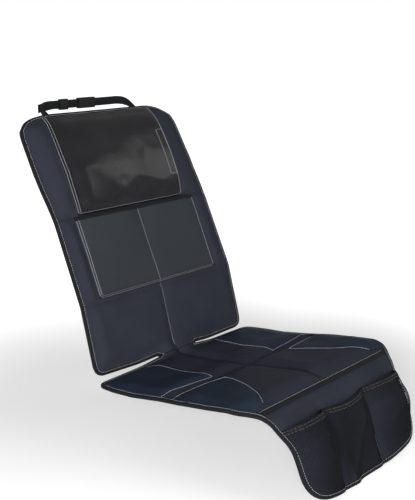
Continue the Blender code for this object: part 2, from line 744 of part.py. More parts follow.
def build_strap(webbing, plastic, collection, cutters):
    """Strap that loops round the head restraint: two sewn webbings, a buckle and a slider."""
    top = drape(0.0, BACK_TOP, 0.0)
    run_y = top.y + STRAP_BACK
    run_z = top.z + STRAP_HEIGHT
    upright = Vector((0, 0, STRAP_WIDTH / 2))
    behind = -MAT_UNDER - LAYER_GAP - STRAP / 2
    plug_right = BUCKLE_LEFT + SOCKET_LENGTH + GAP + PLUG_LENGTH
    for sign, side, inner_end in ((-1, "left", BUCKLE_LEFT), (1, "right", plug_right)):
        low = drape(sign * STRAP_BASE, BACK_TOP - STRAP_DROP, behind)
        lean = (drape(sign * STRAP_BASE, BACK_TOP, behind) - low).normalized() * STRAP_WIDTH / 2
        turn = Vector((sign * STRAP_TURN, run_y, run_z))
        outward = Vector((sign, 1, 1))
        path = [
            low + Vector((sign * STRAP_SEWN, 0, 0)),
            low + outward * Vector(SEWN_RISE) * Vector((-1, 1, 1)),
            turn + outward * Vector(TURN_OUTER),
            turn + outward * Vector(TURN_INNER),
            turn - Vector((sign * TURN_END, 0, 0)),
            Vector((inner_end + sign * GAP, run_y, run_z)),
        ]
        widths = [lean, lean.lerp(upright, 0.35), lean.lerp(upright, 0.75), upright, upright, upright]
        ribbon("strap_" + side, path, widths, STRAP, webbing, collection)
    build_buckle(plug_right, run_y, run_z, plastic, collection, cutters)
    build_slider(run_y, run_z, webbing, plastic, collection, cutters)


def build_buckle(plug_right, y, z, plastic, collection, cutters):
    """Side-release buckle: a hollow socket and a plug with two prongs and a guide."""
    mouth = BUCKLE_LEFT + SOCKET_LENGTH
    half_t = BUCKLE_THICK / 2
    half_w = BUCKLE_WIDTH / 2
    hollow_t = half_t - BUCKLE_WALL
    hollow_w = half_w - BUCKLE_WALL
    socket = finish_object(box_mesh((BUCKLE_LEFT, y - half_t, z - half_w), (mouth, y + half_t, z + half_w)),
                           "buckle_socket", plastic, collection)
    combine_box(socket, (BUCKLE_LEFT + SOCKET_BAR, y - hollow_t, z - hollow_w),
                (mouth + MM, y + hollow_t, z + hollow_w), "DIFFERENCE", cutters)
    plug = finish_object(box_mesh((mouth + GAP, y - half_t, z - half_w), (plug_right, y + half_t, z + half_w)),
                         "buckle_plug", plastic, collection)
    prong_t = hollow_t - PRONG_CLEARANCE
    prong_w = hollow_w - PRONG_CLEARANCE
    tip = mouth - PRONG_LENGTH
    root = mouth + 2 * MM
    arms = ((tip, -prong_w), (tip + GUIDE_SETBACK, -PRONG_WIDTH / 2), (tip, prong_w - PRONG_WIDTH))
    for end, low in arms:
        combine_box(plug, (end, y - prong_t, z + low), (root, y + prong_t, z + low + PRONG_WIDTH),
                    "UNION", cutters)


def build_slider(y, z, webbing, plastic, collection, cutters):
    """Length slider at the left turn, with the free tail of the webbing."""
    left = -STRAP_TURN + TURN_END + SLIDER_GAP
    right = left + SLIDER_LENGTH
    half_w = STRAP_WIDTH / 2
    half_t = SLIDER_THICK / 2
    slot = STRAP / 2 + GAP
    slider = finish_object(
        box_mesh((left, y - half_t, z - half_w - SLIDER_RIM), (right, y + half_t, z + half_w + SLIDER_RIM)),
        "strap_slider", plastic, collection)
    combine_box(slider, (left - MM, y - slot, z - half_w - GAP), (right + MM, y + slot, z + half_w + GAP),
                "DIFFERENCE", cutters)
    start = Vector((left - GAP, y + STRAP + LAYER_GAP, z))
    end = start + Vector((-TAIL_LENGTH, TAIL_BACK, -TAIL_DROOP))
    path = [start, start.lerp(end, 1 / 3), end]
    path[1].z = z - TAIL_DROOP / 9
    ribbon("strap_tail", path, [Vector((0, 0, half_w))] * 3, STRAP, webbing, collection)


def main():
    """Build the whole protector."""
    clear_scene()
    parts = new_collection("car_seat_protector")
    cutters = new_collection("cutters")
    navy = make_material("navy_cloth", (0.035, 0.04, 0.07), 0.75)
    slate = make_material("slate_cloth", (0.04, 0.045, 0.055), 0.8)
    teal = make_material("patch_leatherette", (0.03, 0.045, 0.07), 0.5)
    black = make_material("black_tape", (0.012, 0.012, 0.014), 0.8)
    foam = make_material("grey_foam", (0.25, 0.25, 0.26), 0.9)
    rubbery = make_material("non_slip_mesh", (0.02, 0.02, 0.02), 0.7)
    film = make_material("clear_film", (0.6, 0.62, 0.65), 0.15)
    strip = make_material("hook_and_loop", (0.015, 0.015, 0.017), 0.95)
    net = make_material("black_net", (0.02, 0.02, 0.025), 0.8)
    plastic = make_material("black_plastic", (0.015, 0.015, 0.015), 0.4)
    outline = mat_outline()
    build_mat(outline, navy, foam, rubbery, parts)
    build_binding(outline, black, parts)
    build_patches(outline, teal, parts)
    build_window(film, black, strip, parts)
    build_organiser(slate, black, parts)
    build_flap(outline, navy, net, black, parts)
    build_strap(black, plastic, parts, cutters)


main()
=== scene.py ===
# %% [markdown]
# # A padded car seat protector
#
# The real thing is sewn from flat pieces: two foam pads with a cloth face, a hanging flap, pockets of
# film, cloth and net, and a folded tape all round. It then lies over a car seat and takes its shape.
# The scene is made in the same order. Every soft piece is drawn flat, in metres, and one function
# lays it over the seat's side profile, so that seams which meet on the cutting table meet on the seat.
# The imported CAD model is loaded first, because every new piece has to sit where its solid sits.

# %% Load the frame
import functools
import math

import bmesh
import bpy
from mathutils import Matrix, Vector, kdtree, noise


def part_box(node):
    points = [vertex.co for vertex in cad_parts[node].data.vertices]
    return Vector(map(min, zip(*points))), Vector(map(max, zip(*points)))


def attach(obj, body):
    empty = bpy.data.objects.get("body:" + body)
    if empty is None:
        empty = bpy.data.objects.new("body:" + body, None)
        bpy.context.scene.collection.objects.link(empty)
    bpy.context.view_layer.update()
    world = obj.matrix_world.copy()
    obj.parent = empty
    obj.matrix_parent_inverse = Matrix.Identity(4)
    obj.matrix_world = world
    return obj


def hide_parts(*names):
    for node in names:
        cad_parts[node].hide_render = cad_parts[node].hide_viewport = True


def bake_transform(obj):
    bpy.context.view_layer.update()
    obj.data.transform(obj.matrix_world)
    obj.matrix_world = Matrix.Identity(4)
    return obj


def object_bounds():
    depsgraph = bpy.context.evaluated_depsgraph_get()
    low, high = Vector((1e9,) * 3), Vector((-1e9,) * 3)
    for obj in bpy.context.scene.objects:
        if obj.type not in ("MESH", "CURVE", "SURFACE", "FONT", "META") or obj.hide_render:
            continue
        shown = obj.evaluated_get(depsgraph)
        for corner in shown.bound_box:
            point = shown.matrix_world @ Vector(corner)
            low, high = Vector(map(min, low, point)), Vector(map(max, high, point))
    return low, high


MM = 0.001
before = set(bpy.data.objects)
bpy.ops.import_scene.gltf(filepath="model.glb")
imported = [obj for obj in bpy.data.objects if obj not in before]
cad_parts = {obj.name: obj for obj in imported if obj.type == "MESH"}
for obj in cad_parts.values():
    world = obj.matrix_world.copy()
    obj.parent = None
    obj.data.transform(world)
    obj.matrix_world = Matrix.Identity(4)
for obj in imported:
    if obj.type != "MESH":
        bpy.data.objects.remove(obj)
cad_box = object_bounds()
print("CAD nodes:", len(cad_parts), "box:", [tuple(round(v, 4) for v in corner) for corner in cad_box])

# %% [markdown]
# ## Camera
#
# The viewing place was found by fitting the known lengths of the protector to the photograph. The
# camera stands low at the front left and looks back and slightly down. A long lens keeps the
# perspective mild.

# %% Camera
CAMERA_PLACE = Vector((-1.513, -1.1451, 0.6887))
CAMERA_RIGHT = Vector((0.63233, -0.7747, 0.0))
CAMERA_UP = Vector((0.17514, 0.14296, 0.97411))
SENSOR = 24.0
FOCAL_PIXELS = 970.16
IMAGE_HEIGHT = 500

camera_data = bpy.data.cameras.new("camera")
camera_data.sensor_fit = "VERTICAL"
camera_data.sensor_height = SENSOR
camera_data.lens = FOCAL_PIXELS / IMAGE_HEIGHT * SENSOR
camera = bpy.data.objects.new("camera", camera_data)
bpy.context.scene.collection.objects.link(camera)
turn = Matrix((CAMERA_RIGHT, CAMERA_UP, CAMERA_RIGHT.cross(CAMERA_UP))).transposed()
camera.matrix_world = Matrix.Translation(CAMERA_PLACE) @ turn.to_4x4()
bpy.context.scene.camera = camera
print("camera lens", round(camera_data.lens, 2), "mm")

# %% [markdown]
# ## The seat's side profile
#
# Seen from the side, the protector is a chain of straight runs with rounded bends: the leaning back,
# the crease, the nearly level cushion, the front edge and the flap. A chain of lengths and angles is
# easy to read and to change, and it gives for each station along the cloth a place and a direction.

# %% Side profile
BACK_RUNS = ((152, 14.8), (183, 23.9), (93, 21.7), (82, 28.5), (30, 32.0), (25, 52.0))
FRONT_RUNS = ((110, 3.0), (140, 8.0), (95, 6.5), (30, -5.0), (20, -14.0), (25, -40.0), (60, -60.0),
              (113, -68.0))
BEND_RADIUS = 40 * MM
CREASE_RADIUS = 43 * MM
CREASE_SIDE_RADIUS = 14 * MM
CREASE_SPREAD = 70 * MM
BRIDGE_HALF = 58 * MM
FOLD_LOW = 152 * MM
FOLD_HIGH = 335 * MM
BACK_TOP = 565 * MM
FRONT_SEAM = -395 * MM
FLAP_END = -593 * MM
SEAT_REST = Vector((0.0, -0.1801545, 0.0066724))


def profile_corners():
    """Corners of the side profile as (station, y, z, tangent angle before, after)."""
    front = []
    station, y, z = 0.0, 0.0, 0.0
    for length, rise in FRONT_RUNS:
        front.append((station, y, z, math.radians(-rise)))
        station -= length * MM
        y -= length * MM * math.cos(math.radians(rise))
        z += length * MM * math.sin(math.radians(rise))
    corners = [(station, y, z, front[-1][3], front[-1][3])]
    for before, after in zip(reversed(front[1:]), reversed(front[:-1])):
        corners.append((*before, after[3]))
    angle = front[0][3]
    station, y, z = 0.0, 0.0, 0.0
    for length, lean in BACK_RUNS:
        heading = math.radians(90.0 - lean)
        corners.append((station, y, z, angle, heading))
        angle = heading
        station += length * MM
        y += length * MM * math.cos(heading)
        z += length * MM * math.sin(heading)
    corners.append((station, y, z, angle, angle))
    return corners


CORNERS = profile_corners()


def ease(value, start, end):
    """Smooth step from 0 at start to 1 at end."""
    t = min(1.0, max(0.0, (value - start) / (end - start)))
    return t * t * (3 - 2 * t)


@functools.lru_cache(maxsize=None)
def profile_point(along, side):
    """Place (y, z) and tangent angle at a station; side is 0 on the crease bridge and 1 beside it."""
    start = CORNERS[0]
    for corner in CORNERS:
        if corner[0] <= along:
            start = corner
        turning = corner[4] - corner[3]
        if abs(turning) < 1e-6:
            continue
        radius = BEND_RADIUS
        if corner[0] == 0.0:
            radius = CREASE_RADIUS + (CREASE_SIDE_RADIUS - CREASE_RADIUS) * side
        reach = radius * math.tan(abs(turning) / 2)
        if abs(along - corner[0]) < reach:
            angle = corner[3] + turning * (along - corner[0] + reach) / (2 * reach)
            bend = math.copysign(radius, turning)
            centre_y = corner[1] - reach * math.cos(corner[3]) - bend * math.sin(corner[3])
            centre_z = corner[2] - reach * math.sin(corner[3]) + bend * math.cos(corner[3])
            return centre_y + bend * math.sin(angle), centre_z - bend * math.cos(angle), angle
    run = along - start[0]
    return start[1] + run * math.cos(start[4]), start[2] + run * math.sin(start[4]), start[4]


print("profile corners:", len(CORNERS), "total length", round((CORNERS[-1][0] - CORNERS[0][0]) / MM), "mm")

# %% [markdown]
# ## Laying a flat piece over the seat
#
# A flat drawing has X across, Y along with 0 at the crease, and Z above the face cloth. Draping moves
# each of its points to the profile. Some soft forms are added that a plain bend can't give: the upper
# back rolls backwards at its sides, round the seat, and the flap swells over its side pockets, dips at
# the seams between them and has one small fold at its foot.

# %% Drape
BACK_HALF = 237 * MM
FLAP_HALF = 200 * MM
POCKET_SPLIT = 72 * MM
SIDE_ROLL = 14 * MM
SIDE_ROLL_START = 140 * MM
SIDE_ROLL_LENGTH = 130 * MM
ROLL_START = FOLD_HIGH - 20 * MM
SIDE_WAVE = 20 * MM
RIGHT_WAVE_SHARE = 0.6
RIGHT_WAVE_FADE = (60 * MM, 180 * MM)
SIDE_WAVE_SHARE = 0.85
CENTRE_WAVE = 4.5 * MM
WAVE_LENGTH = 105 * MM
WAVE_START = FRONT_SEAM - 8 * MM
DIVIDER_FOLD = 5 * MM
DIVIDER_FOLD_WIDTH = 9 * MM
FOOT_FOLD = 7 * MM
FOOT_FOLD_PLACE = -34 * MM
FOOT_FOLD_WIDTH = 14 * MM
FOOT_FOLD_START = 530 * MM
CREASE_REACH = 80 * MM


def groove_at(away, width):
    """Share of a groove or ridge at a distance from its line: 1 on it, fading over the width."""
    return math.exp(-(away / width) ** 2)


def lift(across, along):
    """How far the protector stands off its profile."""
    roll = SIDE_ROLL * ease(abs(across), SIDE_ROLL_START, BACK_HALF)
    roll *= ease(along, ROLL_START, ROLL_START + SIDE_ROLL_LENGTH)
    hang = ease(WAVE_START - along, 0.0, WAVE_LENGTH)
    side = max(0.0, (abs(across) - POCKET_SPLIT) / (FLAP_HALF - POCKET_SPLIT))
    middle = math.cos(math.pi * min(1.0, abs(across) / POCKET_SPLIT) / 2) ** 2
    height = SIDE_WAVE
    if across > 0:
        height *= 1.0 + (RIGHT_WAVE_SHARE - 1.0) * ease(FRONT_SEAM - along, *RIGHT_WAVE_FADE)
    wave = height * math.sin(math.pi * SIDE_WAVE_SHARE * side) - CENTRE_WAVE * middle
    wave -= DIVIDER_FOLD * groove_at(abs(across) - POCKET_SPLIT, DIVIDER_FOLD_WIDTH)
    fold = FOOT_FOLD * groove_at(across - FOOT_FOLD_PLACE, FOOT_FOLD_WIDTH)
    wave += fold * ease(-along, FOOT_FOLD_START, -FLAP_END)
    return wave * hang - roll


def drape(across, along, out):
    """Place on the seat of a point of the flat drawing."""
    near = abs(along) < CREASE_REACH
    side = ease(abs(across), BRIDGE_HALF, BRIDGE_HALF + CREASE_SPREAD) if near else 0.0
    y, z, angle = profile_point(round(along, 6), round(side, 3))
    off = out + lift(across, along)
    return Vector((across, y - off * math.sin(angle), z + off * math.cos(angle))) - SEAT_REST


for place, station in (("crease", 0.0), ("top edge", BACK_TOP)):
    print(place, "at", [round(v, 4) for v in drape(0, station, 0)])

# %% [markdown]
# ## The cut outline
#
# One closed line describes the whole protector, with a slit at each side of the crease, where back and
# cushion part. Each slit narrows to a point, and the seat presses the right one nearly shut. Corners
# are rounded with a short curve. The same line, moved inwards, gives the pads, the tape and the
# stitching, so all of them follow each other exactly.

# %% Outline helpers
SLIT_HALF = 9 * MM
RIGHT_SLIT_HALF = 4.5 * MM
TAPE_FACE = 8.5 * MM
SIDE_RISE = 21 * MM
SLIT_TIP = 2.5 * MM
CUSHION_REAR_HALF = 246 * MM
CUSHION_MIDDLE_HALF = 254 * MM
CUSHION_FRONT_HALF = 260 * MM
FLAP_TOP_HALF = 222 * MM
SHOULDER_HALF = 234 * MM
OUTLINE_STEP = 6 * MM


def rounded(points, steps=9):
    """Closed line through (x, y, radius) corners, each rounded by a short curve."""
    path = []
    for index, (x, y, radius) in enumerate(points):
        here = Vector((x, y))
        back = Vector(points[index - 1][:2]) - here
        ahead = Vector(points[(index + 1) % len(points)][:2]) - here
        if radius <= 0:
            path.append(here)
            continue
        reach = min(radius / math.tan(back.angle(ahead) / 2), back.length * 0.49, ahead.length * 0.49)
        first = here + back.normalized() * reach
        last = here + ahead.normalized() * reach
        for step in range(steps + 1):
            t = step / steps
            path.append(first * (1 - t) ** 2 + here * 2 * t * (1 - t) + last * t ** 2)
    return path


def even_steps(path, spacing, closed=True):
    """The same line with points at even distances."""
    points = path + [path[0]] if closed else list(path)
    lengths = [(b - a).length for a, b in zip(points, points[1:])]
    total = sum(lengths)
    count = max(2, round(total / spacing))
    made, index, passed = [], 0, 0.0
    for step in range(count if closed else count + 1):
        target = total * step / count
        while index < len(lengths) - 1 and passed + lengths[index] < target:
            passed += lengths[index]
            index += 1
        share = (target - passed) / max(lengths[index], 1e-9)
        made.append(points[index].lerp(points[index + 1], min(1.0, share)))
    return made


def inset(path, distance):
    """The closed line moved inwards, corner by corner."""
    moved = []
    for index, here in enumerate(path):
        before = (here - path[index - 1]).normalized()
        after = (path[(index + 1) % len(path)] - here).normalized()
        side = Vector((-before.y - after.y, before.x + after.x)).normalized()
        cosine = max(0.5, side.dot(Vector((-after.y, after.x))))
        moved.append(here + side * (distance / cosine))
    return moved


print("tape face", round(TAPE_FACE / MM, 1), "mm, cushion", round(CUSHION_FRONT_HALF * 2 / MM), "mm wide")

# %% [markdown]
# ## Both halves of the outline
#
# The two halves are alike but for the slit, so one function lists the corners of a half and the left
# one is mirrored. A search tree over the line's points tells any place how far the edge is.

# %% Both halves
def half_outline(slit):
    """Corners of one half, from the foot of the flap to the top edge."""
    return [
        (POCKET_SPLIT, FLAP_END, 60 * MM), (FLAP_HALF, FLAP_END + SIDE_RISE, 70 * MM),
        (FLAP_HALF, FRONT_SEAM - 70 * MM, 60 * MM), (FLAP_TOP_HALF, FRONT_SEAM - 10 * MM, 60 * MM),
        (CUSHION_FRONT_HALF - 4 * MM, FRONT_SEAM + 32 * MM, 60 * MM),
        (CUSHION_FRONT_HALF, FRONT_SEAM + 95 * MM, 90 * MM),
        (CUSHION_FRONT_HALF, FRONT_SEAM + 160 * MM, 60 * MM),
        (CUSHION_MIDDLE_HALF, FRONT_SEAM + 215 * MM, 60 * MM), (CUSHION_MIDDLE_HALF, -60 * MM, 60 * MM),
        (CUSHION_REAR_HALF, -slit, 26 * MM), (BRIDGE_HALF, -SLIT_TIP, 2 * MM),
        (BRIDGE_HALF, SLIT_TIP, 2 * MM), (BACK_HALF, slit, 26 * MM), (BACK_HALF, FOLD_LOW, 0),
        (SHOULDER_HALF, FOLD_HIGH, 0), (BACK_HALF, FOLD_HIGH + 93 * MM, 90 * MM),
        (BACK_HALF - 4 * MM, BACK_TOP, 60 * MM),
    ]


left_half = [(-x, y, radius) for x, y, radius in reversed(half_outline(SLIT_HALF))]
OUTLINE = even_steps(rounded(half_outline(RIGHT_SLIT_HALF) + left_half), OUTLINE_STEP)
EDGE = kdtree.KDTree(len(OUTLINE) * 2)
for number, point in enumerate(even_steps(OUTLINE, OUTLINE_STEP / 2)[:len(OUTLINE) * 2]):
    EDGE.insert((point.x, point.y, 0.0), number)
EDGE.balance()
print("outline points:", len(OUTLINE))

# %% [markdown]
# ## The face cloth's relief
#
# Foam under cloth isn't flat. It is pulled down wherever a needle goes through it, and it swells in
# between, so each panel looks soft. The relief is a function of the flat place: a swell that fades
# towards the tape, the seams and the sewn-on pockets, a narrow groove in each seam, and slow waves
# from handling, with small puckers along the tape. All pieces that lie on the cloth add their own
# height to it. The sewn-on pieces are listed first, because the cloth has to know where they are.

# %% Sewn lines
WINDOW = (-168 * MM, 153 * MM, FOLD_HIGH + 0.5 * MM, BACK_TOP - 22 * MM)
ORGANISER = (-184 * MM, 184 * MM, FOLD_LOW + 6 * MM, FOLD_HIGH - 3.5 * MM)
PATCH_MIDDLE = -196 * MM
PATCH_GAP_HALF = 14 * MM
PATCH_SLANT = 5 * MM
FRONT_TAPE = 9 * MM
REAR_PATCH_INNER = 100 * MM
FRONT_PATCH_CURVE = ((108, 15), (112, 40), (123, 65), (136, 92), (150, 115), (164, 134), (177, 150),
                     (188, 163))


def patch_path(side, is_rear):
    """Outline of one corner patch: its own inner edge, then the edge of the seat protector."""
    outer = CUSHION_MIDDLE_HALF - TAPE_FACE
    rear_y = PATCH_MIDDLE + PATCH_GAP_HALF
    front_y = PATCH_MIDDLE - PATCH_GAP_HALF
    slit_y = -SLIT_HALF - TAPE_FACE - 2 * MM
    edge = [point for point in inset(OUTLINE, TAPE_FACE - 1.5 * MM) if point.x > REAR_PATCH_INNER]
    if is_rear:
        own = [(outer, rear_y + PATCH_SLANT), (REAR_PATCH_INNER, rear_y - PATCH_SLANT),
               (REAR_PATCH_INNER, slit_y - 24 * MM), (REAR_PATCH_INNER + 12 * MM, slit_y)]
        run = [point for point in edge if rear_y + PATCH_SLANT < point.y < 0]
        run = sorted(run, key=lambda point: math.atan2(-point.y, point.x))[1:]
    else:
        own = [(outer, front_y + PATCH_SLANT)]
        own += [(out * MM, front_y - ahead * MM) for out, ahead in FRONT_PATCH_CURVE]
        run = [point for point in edge if FRONT_SEAM + FRONT_TAPE < point.y < front_y]
        run = sorted(run, key=lambda point: point.y)
    return [Vector((side * x, y)) for x, y in own + [tuple(point) for point in run]], len(own)


PATCHES = {
    f"{place}_patch_{name}": patch_path(side, place == "rear")
    for place in ("rear", "front") for name, side in (("left", -1), ("right", 1))
}
PATCH_EDGES = kdtree.KDTree(2000)
for path, count in PATCHES.values():
    for place in even_steps(path[:count], 3 * MM, closed=False):
        PATCH_EDGES.insert((place.x, place.y, 0.0), 0)
PATCH_EDGES.balance()
print("patches:", ", ".join(PATCHES))

# %% Relief
BACK_SEAMS = (FOLD_LOW, FOLD_HIGH)
SWELL = 6.4 * MM
GROOVE = 2.2 * MM
CHANNEL = 4.8 * MM
CHANNEL_WIDTHS = (8.5 * MM, 9.5 * MM)
SEAM_WIDTH = 4.0 * MM
PATCH_GROOVE = 0.7 * MM
EDGE_SOFTNESS = 35 * MM
SLOW_WAVES = ((2.4 * MM, 0.12, 1.7), (1.9 * MM, 0.045, 8.3))
PUCKER = 0.9 * MM
PUCKER_SIZE = 18 * MM
PUCKER_FADE = 18 * MM
FOLD_REACH = 24 * MM
MIDDLE_REACH = 26 * MM
POCKET_REACH = 20 * MM
CHANNEL_REACH = 34 * MM
CHANNEL_END = 40 * MM


def waves(x, y, size, seed):
    """Slow, smooth undulation from -1 to 1."""
    return noise.noise(Vector((x / size, y / size, seed)))


def layered(x, y, layers):
    """Sum of undulations, each given as (height, size, seed)."""
    return sum(height * waves(x, y, size, seed) for height, size, seed in layers)


def outside(x, y, box):
    """Distance to a sewn-on rectangle; 0 inside it."""
    across = max(box[0] - x, x - box[1], 0.0)
    along = max(box[2] - y, y - box[3], 0.0)
    return math.hypot(across, along)


def softened(away, low, width):
    """Share of the swell beside a seam: low on the seam, 1 beyond the width."""
    return low + (1.0 - low) * ease(away, 0.0, width)


def relief(x, y):
    """Height of the face cloth above its flat place."""
    edge_distance = EDGE.find((x, y, 0.0))[2]
    swell = ease(edge_distance, TAPE_FACE - 3 * MM, TAPE_FACE - 3 * MM + EDGE_SOFTNESS)
    depth = 0.0
    if y > 0:
        for seam in BACK_SEAMS:
            swell *= softened(abs(y - seam), 0.3, FOLD_REACH)
            depth += GROOVE * groove_at(y - seam, 3.4 * MM)
        if y < FOLD_LOW:
            swell *= softened(abs(x), 0.35, MIDDLE_REACH)
            depth += GROOVE * groove_at(x, 3.0 * MM)
        for pocket in (WINDOW, ORGANISER):
            swell *= softened(outside(x, y, pocket), 0.12, POCKET_REACH)
    else:
        front = y - FRONT_SEAM
        cross = ease(abs(x), 0.0, CHANNEL_REACH) * ease(abs(y - PATCH_MIDDLE), 0.0, CHANNEL_REACH)
        swell *= 0.25 + 0.75 * cross
        swell *= ease(front, FRONT_TAPE - 3 * MM, FRONT_TAPE - 3 * MM + EDGE_SOFTNESS)
        channel = max(groove_at(x, CHANNEL_WIDTHS[0]), groove_at(y - PATCH_MIDDLE, CHANNEL_WIDTHS[1]))
        depth += CHANNEL * channel * ease(front, 0.0, CHANNEL_END)
        if front > 0:
            depth += PATCH_GROOVE * groove_at(PATCH_EDGES.find((x, y, 0.0))[2], SEAM_WIDTH)
        depth += GROOVE * groove_at(front, SEAM_WIDTH)
    soft = layered(x, y, SLOW_WAVES)
    fade = math.exp(-max(0.0, edge_distance - TAPE_FACE) / PUCKER_FADE)
    puckers = PUCKER * waves(x, y, PUCKER_SIZE, 5.5) * fade * ease(edge_distance, 6 * MM, 12 * MM)
    return SWELL * swell + soft * (0.2 + 0.8 * swell) + puckers - depth


for place, y in (("panel", 80 * MM), ("seam", FOLD_LOW)):
    print("relief in a", place, round(relief(100 * MM, y) / MM, 2), "mm")

# %% [markdown]
# ## Helpers that cut and lay cloth
#
# A cloth piece begins as one flat face with the outline of the real cut. Planes then slice it into
# small cells, which is the same as drawing a grid on it, and it keeps its exact edge. Each point also
# stores its flat place in a UV map, in metres, so that weave and ribs run with the thread.

# %% Cloth helpers
CELL = 4.6 * MM
SMALLEST_EDGE = 0.4 * MM


def one_face(path):
    """A bmesh with a flat outline as its only face."""
    mesh = bmesh.new()
    mesh.faces.new([mesh.verts.new(point.to_3d()) for point in path])
    return mesh


def slice_at(mesh, place, normal, **options):
    """Cut a whole bmesh along a plane."""
    everything = mesh.verts[:] + mesh.edges[:] + mesh.faces[:]
    bmesh.ops.bisect_plane(mesh, geom=everything, dist=1e-6, plane_co=place, plane_no=normal, **options)


def flat_face(path, cell=CELL, lines_x=(), lines_y=()):
    """A bmesh of one flat cut, sliced into cells, with extra lines where the shape needs them."""
    mesh = one_face(path)
    for axis, extra in ((0, lines_x), (1, lines_y)):
        low = min(point[axis] for point in path)
        high = max(point[axis] for point in path)
        count = max(1, math.ceil((high - low) / cell))
        places = [low + (high - low) * step / count for step in range(1, count)]
        places = [place for place in places if all(abs(place - line) > cell * 0.3 for line in extra)]
        normal = Vector((1 - axis, axis, 0))
        for place in sorted(places + [line for line in extra if low < line < high]):
            slice_at(mesh, normal * place, normal)
    bmesh.ops.remove_doubles(mesh, verts=mesh.verts, dist=SMALLEST_EDGE)
    return mesh


def store_flat_place(mesh):
    """Write each point's flat place into the UV map, in metres."""
    layer = mesh.loops.layers.uv.new("flat")
    for face in mesh.faces:
        for loop in face.loops:
            loop[layer].uv = loop.vert.co.xy


def lay(mesh, height, shift=None):
    """Store a cut's flat place and lay it over the seat at height(x, y), pulled down by shift(x, y)."""
    store_flat_place(mesh)
    for vert in mesh.verts:
        x, y = vert.co.xy
        down = shift(x, y) if shift else 0.0
        vert.co = drape(x, y - down, height(x, y))


# %% [markdown]
# ## Helpers that make pieces
#
# A laid cut becomes an object with a finish, and rides on a body of the model. A sheet gets its
# thickness from a Solidify modifier, so its own mesh stays a single cloth that is easy to lay.

# %% Piece helpers
def make_piece(mesh, name, finish, body="mat"):
    """Turn a bmesh into a named piece, which rides on a body if one is given."""
    data = bpy.data.meshes.new(name)
    mesh.to_mesh(data)
    mesh.free()
    data.shade_smooth()
    piece = bpy.data.objects.new(name, data)
    data.materials.append(finish)
    bpy.context.scene.collection.objects.link(piece)
    if body:
        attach(piece, body)
    return piece


def sheet_piece(name, path, height, thickness, finish, cell=CELL, lines_x=(), lines_y=(), shift=None):
    """A single cloth with a small thickness, raised by height(x, y) and laid over the seat."""
    mesh = flat_face(path, cell, lines_x, lines_y)
    lay(mesh, height, shift)
    piece = make_piece(mesh, name, finish)
    solid = piece.modifiers.new("Thickness", "SOLIDIFY")
    solid.thickness = thickness
    solid.offset = 1.0
    return piece


def tell_sheet(piece, node, slot, **cut):
    """Hide a sheet's solid node, if the solids have one; the material slot and the flat cut are not used."""
    if node:
        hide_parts(node)


def above(height, off):
    """The height function that lies a fixed distance over another one."""
    return lambda x, y: height(x, y) + off


def box_path(left, right, bottom, top):
    """Four corners as a line."""
    return [Vector((left, bottom)), Vector((right, bottom)), Vector((right, top)), Vector((left, top))]


def cut_between(path, low, high):
    """The part of a closed flat outline that lies between two stations."""
    mesh = one_face(path)
    for value, direction in ((low, -1), (high, 1)):
        slice_at(mesh, (0, value, 0), (0, direction, 0), clear_outer=True)
    largest = max(mesh.faces, key=lambda face: face.calc_area())
    cut = [vert.co.xy for vert in largest.verts]
    mesh.free()
    return cut


# %% [markdown]
# ## Shader helpers
#
# A finish is a small sum: so much weave, so much grain, so much dirt. Written with ordinary operators
# such a sum can be read at a glance, so one class wraps a socket and turns plus and times into Math
# nodes. A second class makes any other node from its type, settings and sockets, and a third adds what
# only a material has: a shader, and patterns that run with the cloth.

# %% Shader helpers
class Signal:
    """A socket that can be used in sums."""

    def __init__(self, nodes, socket):
        self.nodes = nodes
        self.socket = socket

    def __add__(self, other):
        return self.nodes.maths("ADD", self, other)

    def __rsub__(self, other):
        return self.nodes.maths("SUBTRACT", other, self)

    def __mul__(self, other):
        return self.nodes.maths("MULTIPLY", self, other)

    __radd__ = __add__
    __rmul__ = __mul__


class Nodes:
    """A node tree whose nodes are made from Python."""

    def __init__(self, tree):
        self.tree = tree

    def node(self, kind, settings=None, output=0, **sockets):
        """A node of the given type; settings first, then the values or links of its sockets."""
        made = self.tree.nodes.new(kind)
        for key, value in (settings or {}).items():
            setattr(made, key, value)
        for key, value in sockets.items():
            self.plug(value, made.inputs[int(key[1:]) if key[1:].isdigit() else key.replace("_", " ")])
        return Signal(self, made.outputs[output])

    def plug(self, value, target):
        """Link a signal to a socket, or set the socket's value."""
        if isinstance(value, Signal):
            self.tree.links.new(value.socket, target)
        else:
            target.default_value = value

    def maths(self, operation, *values):
        """A Math node."""
        sockets = {f"s{index}": value for index, value in enumerate(values)}
        return self.node("ShaderNodeMath", {"operation": operation}, **sockets)


